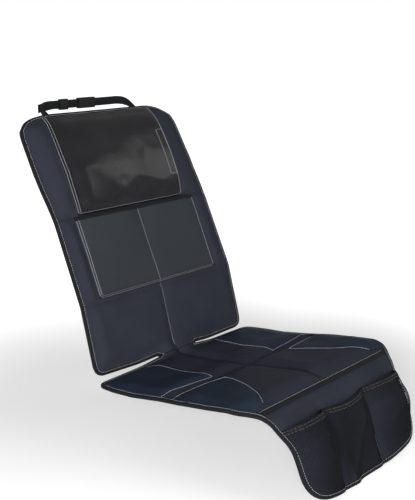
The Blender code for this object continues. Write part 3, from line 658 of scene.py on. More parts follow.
class Finish(Nodes):
    """A material, with the patterns, colours and relief that feed its shader."""

    def __init__(self, name, **constants):
        self.material = bpy.data.materials.new(name)
        self.material.use_nodes = True
        super().__init__(self.material.node_tree)
        self.shader = self.tree.nodes["Principled BSDF"]
        for key, value in constants.items():
            self.shader.inputs[key.replace("_", " ")].default_value = value

    def flat_place(self):
        """The flat place on the cut, in metres, as a vector and its two parts."""
        mapped = self.node("ShaderNodeUVMap", {"uv_map": "flat"})
        return mapped, *(self.node("ShaderNodeSeparateXYZ", output=axis, s0=mapped) for axis in (0, 1))

    def noise(self, vector, scale, detail=2.0, roughness=0.5):
        """Soft noise from 0 to 1."""
        return self.node("ShaderNodeTexNoise", Vector=vector, Scale=scale, Detail=detail, Roughness=roughness)

    def ridges(self, place, pitch):
        """A sine wave of the given length."""
        return self.maths("SINE", place * (2 * math.pi / pitch))

    def tint(self, factor, dark, light):
        """A colour between two."""
        return self.node("ShaderNodeMix", {"data_type": "RGBA"}, output=2, s0=factor, s6=(*dark, 1),
                         s7=(*light, 1))

    def feed(self, key, value):
        """Feed one of the shader's sockets."""
        self.plug(value, self.shader.inputs[key])

    def dress(self, factor, dark, light, roughness, height=None, depth=0.0, strength=1.0):
        """Feed a colour between two, the roughness and a relief, and return the material."""
        self.feed("Base Color", self.tint(factor, dark, light))
        self.feed("Roughness", roughness)
        if height:
            self.feed("Normal", self.node("ShaderNodeBump", Height=height, Distance=depth, Strength=strength))
        return self.material


# %% [markdown]
# ## Woven cloths
#
# The face is a tight polyester weave with a slight shine. Up close it shows crossing threads; from a
# step away it is nearly black navy with a soft, cool sheen where it turns away from the eye. The
# weave is two sets of ridges over each other, laid by the flat place, and a slow noise changes the
# shine as on cloth that has been folded.

# %% Woven cloths
def woven(name, dark, light, pitch, depth, roughness, **constants):
    """A plain weave of the given thread pitch."""
    finish = Finish(name, **constants)
    flat, x, y = finish.flat_place()
    weave = finish.ridges(x, pitch) * finish.ridges(y, pitch)
    mottle = finish.noise(flat, 9.0, 3.0, 0.6)
    fibre = finish.noise(flat, 900.0, 2.0, 0.6)
    return finish.dress(mottle * 0.7 + weave * 0.12 + fibre * 0.2, dark, light, mottle * 0.14 + roughness,
                        weave * 0.5 + fibre * 0.35, depth)


NAVY = woven("navy_cloth", (0.0135, 0.0145, 0.0200), (0.0260, 0.0280, 0.0390), 1.1 * MM, 0.12 * MM,
             0.48, Specular_IOR_Level=0.008)
SLATE = woven("slate_cloth", (0.0160, 0.0185, 0.0215), (0.0280, 0.0320, 0.0375), 1.6 * MM, 0.2 * MM,
              0.6, Specular_IOR_Level=0.03)
print("woven finishes:", NAVY.name, SLATE.name)

# %% [markdown]
# ## Leatherette, tape, thread, foam and plastic
#
# The corner patches are a thin coated cloth with a pebbled grain. The edge tape and the elastics are
# ribbed across their length. Thread is a pale grey twisted yarn. Each is a few nodes on the same
# base, because at this distance the colour and the gloss matter most and the grain only breaks them.
# Cloth has almost no mirror gloss, so its specular level is near zero, and only the film shines.

# %% Other finishes
def leatherette():
    """Coated cloth with a fine pebbled grain."""
    finish = Finish("patch_leatherette", Specular_IOR_Level=0.004)
    flat = finish.flat_place()[0]
    grain = finish.node("ShaderNodeTexVoronoi", {"feature": "SMOOTH_F1"}, Vector=flat, Scale=620.0)
    mottle = finish.noise(flat, 7.0, 3.0)
    return finish.dress(mottle + grain * 0.3, (0.0090, 0.0125, 0.0200), (0.0200, 0.0265, 0.0405),
                        mottle * 0.12 + grain * 0.1 + 0.36, grain, 0.25 * MM, 0.6)


def ribbed(name, dark, light, pitch, roughness):
    """Tape or webbing with ribs across its length; the UV map's V runs along it."""
    finish = Finish(name, Specular_IOR_Level=0.05)
    flat, _, y = finish.flat_place()
    rib = finish.ridges(y, pitch)
    fibre = finish.noise(flat, 1200.0, 2.0)
    return finish.dress(rib * 0.3 + fibre * 0.5 + 0.1, dark, light, fibre * 0.2 + roughness,
                        rib * 0.6 + fibre * 0.4, 0.18 * MM, 0.8)


def grained(name, dark, light, scale, roughness, depth, **constants):
    """A finish that reads Object coordinates: grain of one size over the whole piece."""
    finish = Finish(name, **constants)
    grain = finish.noise(finish.node("ShaderNodeTexCoord", output=3), scale, 3.0, 0.6)
    return finish.dress(grain, dark, light, grain * 0.15 + roughness, grain, depth, 0.6)


def film_finish():
    """Clear soft film over dark cloth: part see-through, nearly black and glossy."""
    finish = Finish("clear_film", Alpha=0.74, Specular_IOR_Level=0.1)
    wave = finish.noise(finish.flat_place()[0], 14.0, 2.0)
    return finish.dress(wave, (0.0060, 0.0058, 0.0068), (0.0150, 0.0142, 0.0155), wave * 0.14 + 0.14)


def net_finish():
    """Black twisted yarn of the net."""
    finish = Finish("black_net", Specular_IOR_Level=0.03)
    yarn = finish.noise(finish.flat_place()[0], 600.0)
    return finish.dress(yarn, (0.004, 0.004, 0.005), (0.013, 0.013, 0.015), yarn * 0.2 + 0.6,
                        yarn, 0.2 * MM, 0.6)


def underside_finish():
    """Non-slip backing: black cloth with rows of small rubber dots."""
    finish = Finish("non_slip_mesh", Specular_IOR_Level=0.25)
    flat, x, y = finish.flat_place()
    row = finish.ridges(x, 6 * MM) * finish.ridges(y, 6 * MM)
    dots = finish.node("ShaderNodeMapRange", Value=row, From_Min=0.45, From_Max=0.62)
    fibre = finish.noise(flat, 700.0)
    return finish.dress(dots * 0.6 + fibre * 0.3, (0.02, 0.02, 0.021), (0.055, 0.055, 0.058),
                        0.85 - dots * 0.4, dots + fibre * 0.15, 0.5 * MM, 0.8)


PATCH_FINISH = leatherette()
TAPE_FINISH = ribbed("black_tape", (0.0040, 0.0040, 0.0045), (0.0130, 0.0130, 0.0145), 1.6 * MM, 0.6)
WEBBING_FINISH = ribbed("black_webbing", (0.003, 0.0035, 0.0038), (0.009, 0.010, 0.0105), 2.2 * MM, 0.55)
THREAD_FINISH = grained("grey_thread", (0.25, 0.26, 0.29), (0.44, 0.45, 0.49), 900.0, 0.5, 0.2 * MM,
                        Specular_IOR_Level=0.2)
DIM_THREAD_FINISH = grained("dim_thread", (0.09, 0.09, 0.10), (0.20, 0.20, 0.22), 900.0, 0.6, 0.2 * MM,
                            Specular_IOR_Level=0.1)
PLASTIC_FINISH = grained("black_plastic", (0.0035, 0.0035, 0.004), (0.008, 0.008, 0.009), 900.0, 0.4,
                         0.05 * MM, Specular_IOR_Level=0.08)
PILE_FINISH = grained("hook_and_loop", (0.006, 0.006, 0.007), (0.03, 0.03, 0.033), 1400.0, 0.8, 0.6 * MM)
FILM_FINISH = film_finish()
NET_FINISH = net_finish()
UNDERSIDE_FINISH = underside_finish()
print("finishes made:", len(bpy.data.materials))

# %% [markdown]
# ## Back and cushion pads
#
# Each pad is foam with cloth on it: a closed form with a crowned, grooved face and a flat underside.
# The flat cut is extruded once, then the upper points take the relief and the lower ones stay flat.

# %% Pads
FACE = 1.5 * MM
FOAM = 5.0 * MM
BACKING = 1.2 * MM
LAYER_GAP = 0.6 * MM
CLOTH_AIR = 0.4 * MM
TOP_AIR = 0.2 * MM
MAT_UNDER = FACE + FOAM + BACKING + 2 * LAYER_GAP
PAD_UNDER = FACE + FOAM + LAYER_GAP
RIM = 5.0 * MM
RIM_WIDTH = 26 * MM
PAD_INSET = 2.1 * MM
HALF_GAP = 0.15 * MM


def pinch(x, y):
    """How far the underside rises towards the rim, where the tape presses the foam together."""
    return (MAT_UNDER - RIM) * (1.0 - ease(EDGE.find((x, y, 0.0))[2], TAPE_FACE, TAPE_FACE + RIM_WIDTH))


def lines_round(places, steps=(0, 1.5, 3, 5)):
    """Extra lines at both sides of each place, so that a narrow groove keeps its form."""
    return sorted({place + sign * step * MM for place in places for step in steps for sign in (-1, 1)})


def pad_piece(name, low, high, seams_x, seams_y):
    """A padded panel of the mat."""
    path = cut_between(inset(OUTLINE, PAD_INSET), low, high)
    mesh = flat_face(path, CELL, lines_round(seams_x), lines_round(seams_y))
    store_flat_place(mesh)
    grown = bmesh.ops.extrude_face_region(mesh, geom=mesh.faces[:])
    upper = {item for item in grown["geom"] if isinstance(item, bmesh.types.BMVert)}
    for vert in mesh.verts:
        x, y = vert.co.xy
        vert.co = drape(x, y, relief(x, y) if vert in upper else pinch(x, y) - PAD_UNDER)
    bmesh.ops.recalc_face_normals(mesh, faces=mesh.faces)
    piece = make_piece(mesh, name, NAVY)
    return piece


back_pad = pad_piece("back_pad", HALF_GAP, BACK_TOP, (0.0,), (FOLD_LOW, FOLD_HIGH))
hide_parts("back_cloth", "back_foam")
cushion_pad = pad_piece("cushion_pad", FRONT_SEAM, -HALF_GAP, (0.0,), (PATCH_MIDDLE,))
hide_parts("cushion_cloth", "cushion_foam")
print("back pad faces", len(back_pad.data.polygons), "cushion pad faces", len(cushion_pad.data.polygons))

# %% [markdown]
# ## Non-slip undersides
#
# The back of each pad is a separate thin cloth with rubber dots that grip the seat. It is a plain
# sheet under the foam, cut a little smaller than the pad so that the edge tape covers its rim.

# %% Undersides
UNDERSIDE_INSET = 11.5 * MM
UNDERSIDE_CUT = 0.5

for name, low, high in (("back", HALF_GAP, BACK_TOP), ("cushion", FRONT_SEAM, -HALF_GAP)):
    path = cut_between(inset(OUTLINE, UNDERSIDE_INSET), low, high)
    underside = sheet_piece(f"{name}_underside", path, lambda x, y: pinch(x, y) - MAT_UNDER, BACKING,
                            UNDERSIDE_FINISH, 8 * MM)
    tell_sheet(underside, f"{name}_backing", "non_slip_mesh", flat=(UNDERSIDE_CUT, high - low),
               held="laid", rests_on=[f"{name}_pad"])
    print(underside.name, "faces", len(underside.data.polygons))

# %% [markdown]
# ## Edge tape
#
# A folded tape closes the raw edge all the way round, slits and flap included, and presses the foam
# together there. Its section is a rounded channel. A loop of edges is extruded once for each corner
# of the section and set down on the outline moved inwards; the last loop is merged with the first.
# The tape is pulled a little tighter at each stitch, so its height wavers.

# %% Edge tape
FLAP_CLOTH = 1.9 * MM
TAPE_TURN = 2.5 * MM
TAPE_WAVES = ((0.22 * MM, 0.009, 3.1), (0.25 * MM, 0.04, 5.2))
TAPE_SECTION = (
    (8.5, 0.35), (8.2, 0.95), (6.2, 1.1), (3.6, 1.35), (1.6, 1.2), (0.4, 0.4), (-0.2, -1.2), (-0.2, -3.4),
    (0.3, -5.0), (1.6, -5.7), (6.0, -5.9), (11.6, -5.8), (12.0, -5.3), (11.6, -4.9), (1.8, -4.9), (1.8, 0.2),
)


def rim_share(along):
    """Thickness of the rim as a share of the pads' rim; the flap is a single cloth."""
    flap = (FLAP_CLOTH + BACKING + LAYER_GAP) / RIM
    return 1.0 + (flap - 1.0) * ease(FRONT_SEAM - along, 2 * MM, 28 * MM)


tape_mesh = bmesh.new()
run_layer = tape_mesh.verts.layers.int.new("run")
turn_layer = tape_mesh.verts.layers.int.new("turn")
ring = [tape_mesh.verts.new(point.to_3d()) for point in OUTLINE]
for run, vert in enumerate(ring):
    vert[run_layer] = run
edges = [tape_mesh.edges.new(pair) for pair in zip(ring, ring[1:] + ring[:1])]
sections = [[(p.x, p.y, height * MM) for p in inset(OUTLINE, depth * MM)] for depth, height in TAPE_SECTION]
for turn_number, places in enumerate(sections + sections[:1]):
    if turn_number:
        grown = bmesh.ops.extrude_edge_only(tape_mesh, edges=edges)["geom"]
        edges = [item for item in grown if isinstance(item, bmesh.types.BMEdge)]
        ring = [item for item in grown if isinstance(item, bmesh.types.BMVert)]
    for vert in ring:
        vert.co = places[vert[run_layer]]
        vert[turn_layer] = turn_number
uv = tape_mesh.loops.layers.uv.new("flat")
for face in tape_mesh.faces:
    last = max(vert[run_layer] for vert in face.verts)
    for loop in face.loops:
        run = loop.vert[run_layer]
        run = len(OUTLINE) if run == 0 and last == len(OUTLINE) - 1 else run
        loop[uv].uv = (loop.vert[turn_layer] * TAPE_TURN, run * OUTLINE_STEP)
bmesh.ops.remove_doubles(tape_mesh, verts=tape_mesh.verts, dist=1e-6)
for vert in tape_mesh.verts:
    x, y, z = vert.co
    vert.co = drape(x, y, z * rim_share(y) if z < 0 else z + layered(x, y, TAPE_WAVES))
bmesh.ops.recalc_face_normals(tape_mesh, faces=tape_mesh.faces)
largest = max(face.calc_area() for face in tape_mesh.faces)
edge_tape = make_piece(tape_mesh, "edge_tape", TAPE_FINISH)
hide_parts("edge_binding")
print("edge tape faces", len(edge_tape.data.polygons), "largest", round(largest * 1e6, 1), "mm2")

# %% [markdown]
# ## Stitches
#
# The pale topstitching is what draws this object: it runs along the tape, round the patches and down
# the pockets. Each visible stitch is a short, thick lens of thread that dives into the cloth at both
# ends. A low sphere is stretched along the seam for each one, and all stitches of a seam are one mesh.
# An operator gets slower as its mesh grows, so the stitches are made in small batches and joined.

# %% Stitches
STITCH = 3.9 * MM
STITCH_PITCH = 4.6 * MM
THREAD = 0.5 * MM
BATCH = 24
PROBE = 0.8 * MM
EDGE_STITCH_HEIGHT = 1.1 * MM


def surface(x, y, height):
    """Place and outward direction of the surface that lies at height(x, y)."""
    def place(side, ahead):
        return drape(x + side, y + ahead, height(x + side, y + ahead))

    run_x, run_y = place(PROBE, 0) - place(-PROBE, 0), place(0, PROBE) - place(0, -PROBE)
    return place(0, 0), run_x.cross(run_y).normalized()


def stitch_places(line, height, over, closed, thread):
    """Matrices that place a unit sphere as each stitch of a flat line, over the surface height(x, y)."""
    marks = even_steps(line, STITCH_PITCH, closed)
    for first, second in zip(marks, marks[1:] + marks[:1] if closed else marks[1:]):
        middle = (first + second) / 2
        ahead = (second - first).normalized() * STITCH / 2
        centre, out = surface(middle.x, middle.y, height)
        ends = [drape(p.x, p.y, height(p.x, p.y)) for p in (middle - ahead, middle + ahead)]
        along = (ends[1] - ends[0]).normalized()
        side = out.cross(along).normalized()
        up = along.cross(side)
        turned = Matrix((side * thread, up * thread, along * STITCH / 2)).transposed().to_4x4()
        yield Matrix.Translation(centre + out * (over + thread * 0.3)) @ turned


def sew(name, lines, height, over=0.0, closed=False, thread=THREAD, finish=THREAD_FINISH):
    """The stitches of one or more flat lines as one piece, over a surface at height(x, y)."""
    places = [place for line in lines for place in stitch_places(line, height, over, closed, thread)]
    whole = bmesh.new()
    batch_data = bpy.data.meshes.new("batch")
    for start in range(0, len(places), BATCH):
        batch = bmesh.new()
        for place in places[start:start + BATCH]:
            bmesh.ops.create_uvsphere(batch, u_segments=6, v_segments=4, radius=1.0, matrix=place)
        batch.to_mesh(batch_data)
        batch.free()
        whole.from_mesh(batch_data)
    bpy.data.meshes.remove(batch_data)
    piece = make_piece(whole, name, finish)
    print(name, "stitches:", len(places))
    return piece


def upright(x, low, high):
    """A line along the protector."""
    return [Vector((x, low)), Vector((x, high))]


def sideways(y, left, right):
    """A line across the protector."""
    return [Vector((left, y)), Vector((right, y))]


FINE_THREAD = 0.26 * MM
ROW_THREAD = 0.3 * MM
POCKET_THREAD = 0.42 * MM
sew("edge_stitching", [inset(OUTLINE, TAPE_FACE - 2.0 * MM)], lambda x, y: EDGE_STITCH_HEIGHT, closed=True,
    thread=0.32 * MM)
sew("seam_stitching", [upright(0, 14 * MM, ORGANISER[2] - 2 * MM)], relief, TOP_AIR, thread=FINE_THREAD)

# %% [markdown]
# ## Corner patches
#
# Four patches of leatherette guard the cushion's corners, where a child seat's feet press. Each is a
# single sheet on the cloth, its rim stitched down. The rim sits low and the middle swells slightly.

# %% Corner patches
PATCH = 1.0 * MM
PATCH_AIR = 0.25 * MM
PATCH_SWELL = 0.8 * MM
PATCH_CENTRE = 190 * MM
PATCH_SEAM_SHARE = 0.03


def on_patch(x, y):
    """Height of a patch's lower side."""
    inside = ease(PATCH_EDGES.find((x, y, 0.0))[2], 1 * MM, 14 * MM)
    return relief(x, y) + PATCH_AIR + PATCH_SWELL * inside


for name, (path, count) in PATCHES.items():
    patch = sheet_piece(name + "_sheet", path, on_patch, PATCH, PATCH_FINISH)
    area = sum(a.x * b.y - b.x * a.y for a, b in zip(path, path[1:] + path[:1])) / 2
    size = [max(p[axis] for p in path) - min(p[axis] for p in path) for axis in (0, 1)]
    tell_sheet(patch, name, "patch_leatherette", flat=size, held="laid", rests_on=["cushion_pad"],
               area=abs(area))
    seam = [p.lerp(Vector((math.copysign(PATCH_CENTRE, p.x), p.y)), PATCH_SEAM_SHARE) for p in path[:count]]
    sew(name + "_stitching", [seam], on_patch, PATCH, thread=0.4 * MM)

# %% [markdown]
# ## Document pockets
#
# Two pockets for papers are one piece of dark ribbed cloth, sewn down at the sides, the foot and the
# middle, and bound with tape above and below. The cloth stands off between its seams and its mouth
# sags open a little, so it catches light differently from the pad behind.

# %% Document pockets
ORGANISER_DEPTH = 7.74 * MM
ORGANISER_CLOTH = 1.2 * MM
TAPE = 0.8 * MM
TAPE_WIDTH = 7 * MM
NARROWEST_CUT = 10 * MM


def arch(t):
    """Broad hump over t from 0 to 1."""
    return max(0.0, 1.0 - (2 * t - 1) ** 4)


def organiser_height(x, y):
    """Lower side of the pocket cloth."""
    left, right, bottom, top = ORGANISER
    lobe = arch((abs(x) / right - 0.03) / 0.97) if abs(x) > 0.03 * right else 0.0
    level = (y - bottom) / (top - bottom)
    stand = ORGANISER_DEPTH * lobe * ease(level, 0.0, 1.1)
    folds = 0.9 * MM * waves(x, y * 0.6, 0.05, 12.4) + 0.5 * MM * waves(x, y, 0.022, 3.3)
    return relief(x, y) + CLOTH_AIR + stand + folds * lobe * (0.3 + 0.7 * level)


organiser = sheet_piece("organiser_cloth", box_path(*ORGANISER), organiser_height, ORGANISER_CLOTH, SLATE,
                        5 * MM, lines_x=lines_round((0.0,)))
organiser_size = (ORGANISER[1] - ORGANISER[0], ORGANISER[3] - ORGANISER[2])
tell_sheet(organiser, "organiser_pocket", "slate_cloth", flat=organiser_size, held="laid",
           rests_on=["back_pad"])


def tape_strip(name, box, height, node):
    """A flat tape sewn over an edge; the frame takes no side under 10 mm, so its area is given too."""
    strip = sheet_piece(name, box_path(*box), height, TAPE, TAPE_FINISH, 4 * MM)
    tell_sheet(strip, node, "black_tape", flat=(box[1] - box[0], NARROWEST_CUT), held="stretched",
               rests_on=["back_pad"], area=(box[1] - box[0]) * (box[3] - box[2]))


over_organiser = above(organiser_height, ORGANISER_CLOTH + TOP_AIR)
left, right, bottom, top = ORGANISER
tape_strip("organiser_top_binding", (left, right, top - TAPE_WIDTH, top), over_organiser,
           "organiser_top_tape")
tape_strip("organiser_foot_binding", (left, right, bottom, bottom + TAPE_WIDTH), over_organiser,
           "organiser_bottom_tape")
sides = [upright(x, bottom + 2 * MM, top - 2 * MM) for x in
         (left + 2.5 * MM, left + 8 * MM, right - 2.5 * MM, 0.0)]
sew("organiser_side_stitching", sides[:3], over_organiser, thread=POCKET_THREAD)
sew("organiser_middle_stitching", sides[3:], over_organiser, thread=FINE_THREAD)
feet = [sideways(y, left + 3 * MM, right - 3 * MM) for y in
        (bottom + 1.8 * MM, bottom + TAPE_WIDTH - 1.8 * MM)]
sew("organiser_foot_stitching", feet, over_organiser, TAPE, thread=ROW_THREAD)

# %% [markdown]
# ## Window pocket
#
# A sheet of clear film covers the upper back and makes a flat pocket. It is sewn at the left, above
# and below, and its right edge is open, with hook and loop strips that close it. The film is stiff, so
# it stands off in one broad bow, with a few long dents and slack creases at its foot that catch the
# light.

# %% Window pocket
WINDOW_DEPTH = 8.1 * MM
FILM = 0.6 * MM
STRIP_WIDTH = 20 * MM
STRIP_LENGTH = 106 * MM
STRIP_BOTTOM = FOLD_HIGH + 52 * MM
STRIP_THICKNESS = 1.2 * MM
STRIP_AIR = 0.3 * MM
SLACK = 1.8 * MM
FILM_TOP = BACK_TOP - TAPE_FACE
FOOT_TAPE = 5 * MM


def film_height(x, y):
    """Lower side of the film."""
    left, right, bottom, top = WINDOW
    side = ease(x, left, left + 50 * MM)
    level = min(1.0, (y - bottom) / (top - bottom))
    dents = 1.5 * MM * waves(x * 0.7, y, 0.07, 21.0) + 0.5 * MM * waves(x + y * 0.5, y * 0.4, 0.03, 4.0)
    crease = 1.0 - min(1.0, 2.6 * abs(waves(x * 0.8 + y * 0.5, y - x * 0.4, 0.08, 17.0)))
    slack = SLACK * crease ** 2 * (1.0 - ease(level, 0.3, 0.7)) * ease(level, 0.03, 0.16)
    slack *= ease(x, left + 10 * MM, left + 26 * MM)
    return relief(x, y) + CLOTH_AIR + (WINDOW_DEPTH + dents) * side * arch(level) + slack


over_film = above(film_height, FILM + TOP_AIR)
left, right, bottom, top = WINDOW
film = sheet_piece("window_film_sheet", box_path(left, right, bottom, FILM_TOP), film_height, FILM,
                   FILM_FINISH, 3.5 * MM)
tell_sheet(film, "window_film", "clear_film", flat=(right - left, FILM_TOP - bottom), held="stretched",
           rests_on=["back_pad"])
tape_strip("window_foot_binding", (left, right, bottom, bottom + FOOT_TAPE), over_film, "window_bottom_tape")
strip_box = (right - 2 * MM - STRIP_WIDTH, right - 2 * MM, STRIP_BOTTOM, STRIP_BOTTOM + STRIP_LENGTH)
for name, height in (("hook_strip", above(film_height, -STRIP_THICKNESS - STRIP_AIR)),
                     ("loop_strip", above(relief, STRIP_AIR))):
    strip = sheet_piece(name + "_pile", box_path(*strip_box), height, STRIP_THICKNESS, PILE_FINISH, 5 * MM)
    tell_sheet(strip, name, "hook_and_loop", flat=(STRIP_WIDTH, STRIP_LENGTH), held="laid",
               rests_on=["back_pad"])
window_lines = [upright(x, bottom, FILM_TOP) for x in (left + 2 * MM, left + 8 * MM, right - 1.5 * MM)]
sew("window_stitching", window_lines, over_film, thread=POCKET_THREAD)
foot_row = sideways(bottom + FOOT_TAPE - 1.4 * MM, left + 2 * MM, right - 2 * MM)
sew("window_foot_stitching", [foot_row], over_film, TAPE, thread=ROW_THREAD)
sew("strip_stitching", [box_path(*strip_box)], over_film, closed=True, thread=ROW_THREAD)

# %% [markdown]
# ## Hanging flap
#
# The flap is one cloth that hangs over the seat's front edge. Cloth that hangs from an edge falls in
# folds that run downwards, so its height is a noise that is stretched along the fall. One longer fold
# runs slantwise over the middle, as the pockets pull the cloth.

# %% Flap
FLAP_FOLDS = 1.6 * MM
SLANT_FOLD = 3.5 * MM
SLANT_FOLD_WIDTH = 11 * MM
FOLD_DROP = 40 * MM


def flap_height(x, y):
    """Upper side of the flap cloth."""
    down = ease(FRONT_SEAM - y, 0.0, 70 * MM)
    edge = ease(EDGE.find((x, y, 0.0))[2], 8 * MM, 30 * MM)
    folds = FLAP_FOLDS * waves(x, y * 0.25, 0.045, 31.0)
    run = (FRONT_SEAM - y - FOLD_DROP) / (FRONT_SEAM - FLAP_END - FOLD_DROP)
    folds += SLANT_FOLD * groove_at(x - 60 * MM + 95 * MM * run, SLANT_FOLD_WIDTH) * ease(run, 0.0, 0.4)
    return folds * down * edge - GROOVE * groove_at(y - FRONT_SEAM, SEAM_WIDTH) - FLAP_CLOTH


flap_path = cut_between(inset(OUTLINE, PAD_INSET), FLAP_END, FRONT_SEAM - HALF_GAP)
flap = sheet_piece("flap_cloth", flap_path, flap_height, FLAP_CLOTH, NAVY)
tell_sheet(flap, "front_flap", "navy_cloth", flat=(0.45, 0.2), held="hung", rests_on=["cushion_pad"],
           area=0.08)
print("flap faces:", len(flap.data.polygons))

# %% [markdown]
# ## Net pockets
#
# Three net pockets are sewn on the flap, and a wide elastic holds each mouth. The nets swell as if
# filled, because they are cut fuller than the flap, and the elastic gathers their upper edge into small
# pleats. The net could be a pattern of holes in a material, but real yarns look right from all sides:
# the flat cut is sliced into diamonds and a Wireframe modifier turns each of their edges into a yarn.

# %% Net pockets
NET_YARN = 1.0 * MM
NET_PITCH = 3.1 * MM
NET_LEAN = math.radians(38)
NET_TOP = FRONT_SEAM - 41 * MM
NET_REACH = 125 * MM
ELASTIC_WIDTH = 12.5 * MM
ELASTIC = 1.4 * MM
POCKET_SEAM = 1.5 * MM
FLAP_INSIDE = inset(OUTLINE, TAPE_FACE - 1.2 * MM)


def net_piece(name, path, height, sag):
    """A net of yarns with the given outline."""
    mesh = flat_face(path, 30 * MM)
    count = math.ceil(NET_REACH / NET_PITCH)
    middle = sum(path, Vector((0, 0))) / len(path)
    for lean in (NET_LEAN, -NET_LEAN):
        normal = Vector((math.cos(lean), math.sin(lean), 0))
        for step in range(-count, count):
            slice_at(mesh, middle.to_3d() + normal * (step + 0.5) * NET_PITCH, normal)
    bmesh.ops.dissolve_limit(mesh, angle_limit=0.001, verts=[], edges=[
        edge for edge in mesh.edges if not edge.is_boundary
        and min(abs(edge.verts[0].co[axis] - edge.verts[1].co[axis]) for axis in (0, 1)) < 1e-6])
    bmesh.ops.remove_doubles(mesh, verts=mesh.verts, dist=0.3 * MM)
    lay(mesh, height, sag)
    net = make_piece(mesh, name, NET_FINISH)
    yarns = net.modifiers.new("Yarns", "WIREFRAME")
    yarns.thickness = NET_YARN
    yarns.use_even_offset = False
    return net


def cut_box(path, left, right, low, high):
    """The part of a closed flat outline that lies in a box."""
    turned_path = [Vector((point.y, point.x)) for point in cut_between(path, low, high)]
    return [Vector((point.y, point.x)) for point in reversed(cut_between(turned_path, left, right))]


print("flap's inside outline points:", len(FLAP_INSIDE))

# %% [markdown]
# ## Nets and elastics in place
#
# One function makes a pocket: the net stands off the flap and its mouth sags, and the elastic lies on
# the net with two dim stitch rows. The side pockets stand open wider, and the middle one sags more.

# %% Nets and elastics
def build_net(name, left, right, depth, drop):
    """One net pocket with its elastic."""
    low = FLAP_END + TAPE_FACE
    path = cut_box(FLAP_INSIDE, left, right, FLAP_END, NET_TOP)
    left, right = min(p.x for p in path), max(p.x for p in path)

    def share(x):
        return min(1.0, max(0.0, (x - left) / (right - left)))

    def sag(x, y):
        return drop * math.sin(math.pi * share(x)) * ease(y, low, NET_TOP)

    def height(x, y):
        level = (y - low) / (NET_TOP - low)
        hump = arch(share(x)) * ease(EDGE.find((x, y, 0.0))[2], TAPE_FACE, TAPE_FACE + 26 * MM)
        pleat = 0.7 * MM * math.sin(x / (9 * MM) * 2 * math.pi) * ease(level, 0.45, 1.0)
        slack = 1.6 * MM * waves(x, y, 0.04, 14.0)
        swell = depth * ease(level, 0.0, 0.75) + pleat + slack * ease(level, 0.0, 0.3)
        return flap_height(x, y) + FLAP_CLOTH + 0.7 * MM + hump * swell

    net = net_piece(f"net_{name}_mesh", path, height, sag)
    tell_sheet(net, f"net_pocket_{name}", "black_net", flat=(right - left, NET_TOP - low),
               held="gathered", rests_on=["flap_cloth"])

    on_net = above(height, NET_YARN / 2 + TOP_AIR)
    band = cut_box(FLAP_INSIDE, left - MM, right + MM, NET_TOP - ELASTIC_WIDTH, NET_TOP)
    elastic = sheet_piece(f"elastic_{name}_band", band, on_net, ELASTIC, TAPE_FINISH, 3 * MM, shift=sag)
    tell_sheet(elastic, f"net_elastic_{name}", "black_tape", flat=(right - left, ELASTIC_WIDTH),
               held="stretched", rests_on=[net.name])
    marks = [left + (right - left) * step / 20 for step in range(21)]
    rows = [[Vector((x, y - sag(x, y))) for x in marks] for y in
            (NET_TOP - 4 * MM, NET_TOP - ELASTIC_WIDTH + 3 * MM)]
    sew(f"elastic_{name}_stitching", rows, lambda x, y: on_net(x, y + sag(x, y)), ELASTIC,
        thread=0.2 * MM, finish=DIM_THREAD_FINISH)


outer, inner, centre = FLAP_TOP_HALF, POCKET_SPLIT + POCKET_SEAM, POCKET_SPLIT - POCKET_SEAM
build_net("left", -outer, -inner, 22.8 * MM, 2 * MM)
build_net("centre", -centre, centre, 13.3 * MM, 9 * MM)
build_net("right", inner, outer, 22.8 * MM, 2 * MM)
dividers = [upright(x, FLAP_END + TAPE_FACE, NET_TOP) for x in (-POCKET_SPLIT, POCKET_SPLIT)]
sew("divider_stitching", dividers, flap_height, FLAP_CLOTH + 0.5 * MM, thread=FINE_THREAD)

# %% [markdown]
# ## Front seam
#
# Where the flap hangs from the cushion, a flat tape covers the raw edges and is sewn down along its
# rear side. It is one more sheet, and it rides over the end of the pad and the start of the flap.

# %% Front seam
SEAM_OVERLAP = 3 * MM


def on_front_seam(x, y):
    """Lower side of the tape over the seam between cushion and flap."""
    return relief(x, FRONT_SEAM + FRONT_TAPE) * ease(y - FRONT_SEAM, -2 * MM, FRONT_TAPE) + 0.5 * MM


front_path = cut_box(FLAP_INSIDE, -CUSHION_FRONT_HALF, CUSHION_FRONT_HALF, FRONT_SEAM - SEAM_OVERLAP,
                     FRONT_SEAM + FRONT_TAPE)
front_tape = sheet_piece("front_seam_tape", front_path, on_front_seam, TAPE, TAPE_FINISH, 4 * MM)
front_half = max(p.x for p in front_path)
tell_sheet(front_tape, None, "black_tape", flat=(front_half * 2, FRONT_TAPE + SEAM_OVERLAP),
           held="stretched", rests_on=["cushion_pad", "flap_cloth"])
seam_row = sideways(FRONT_SEAM + FRONT_TAPE - 2.2 * MM, -front_half + 10 * MM, front_half - 10 * MM)
sew("front_seam_stitching", [seam_row], on_front_seam, TAPE, thread=ROW_THREAD)

# %% [markdown]
# ## Strap behind the top edge
#
# Two webbings are sewn behind the top edge. They run back, turn, and meet in a side-release buckle.
# A slider sets the length and leaves a free tail. The webbing is a ribbon that turns smoothly from the
# slope of the pad to upright, so its line is a smooth curve through a few places with a width direction
# at each. That direction is square to the run and to the way the ribbon faces, so it is never pinched.

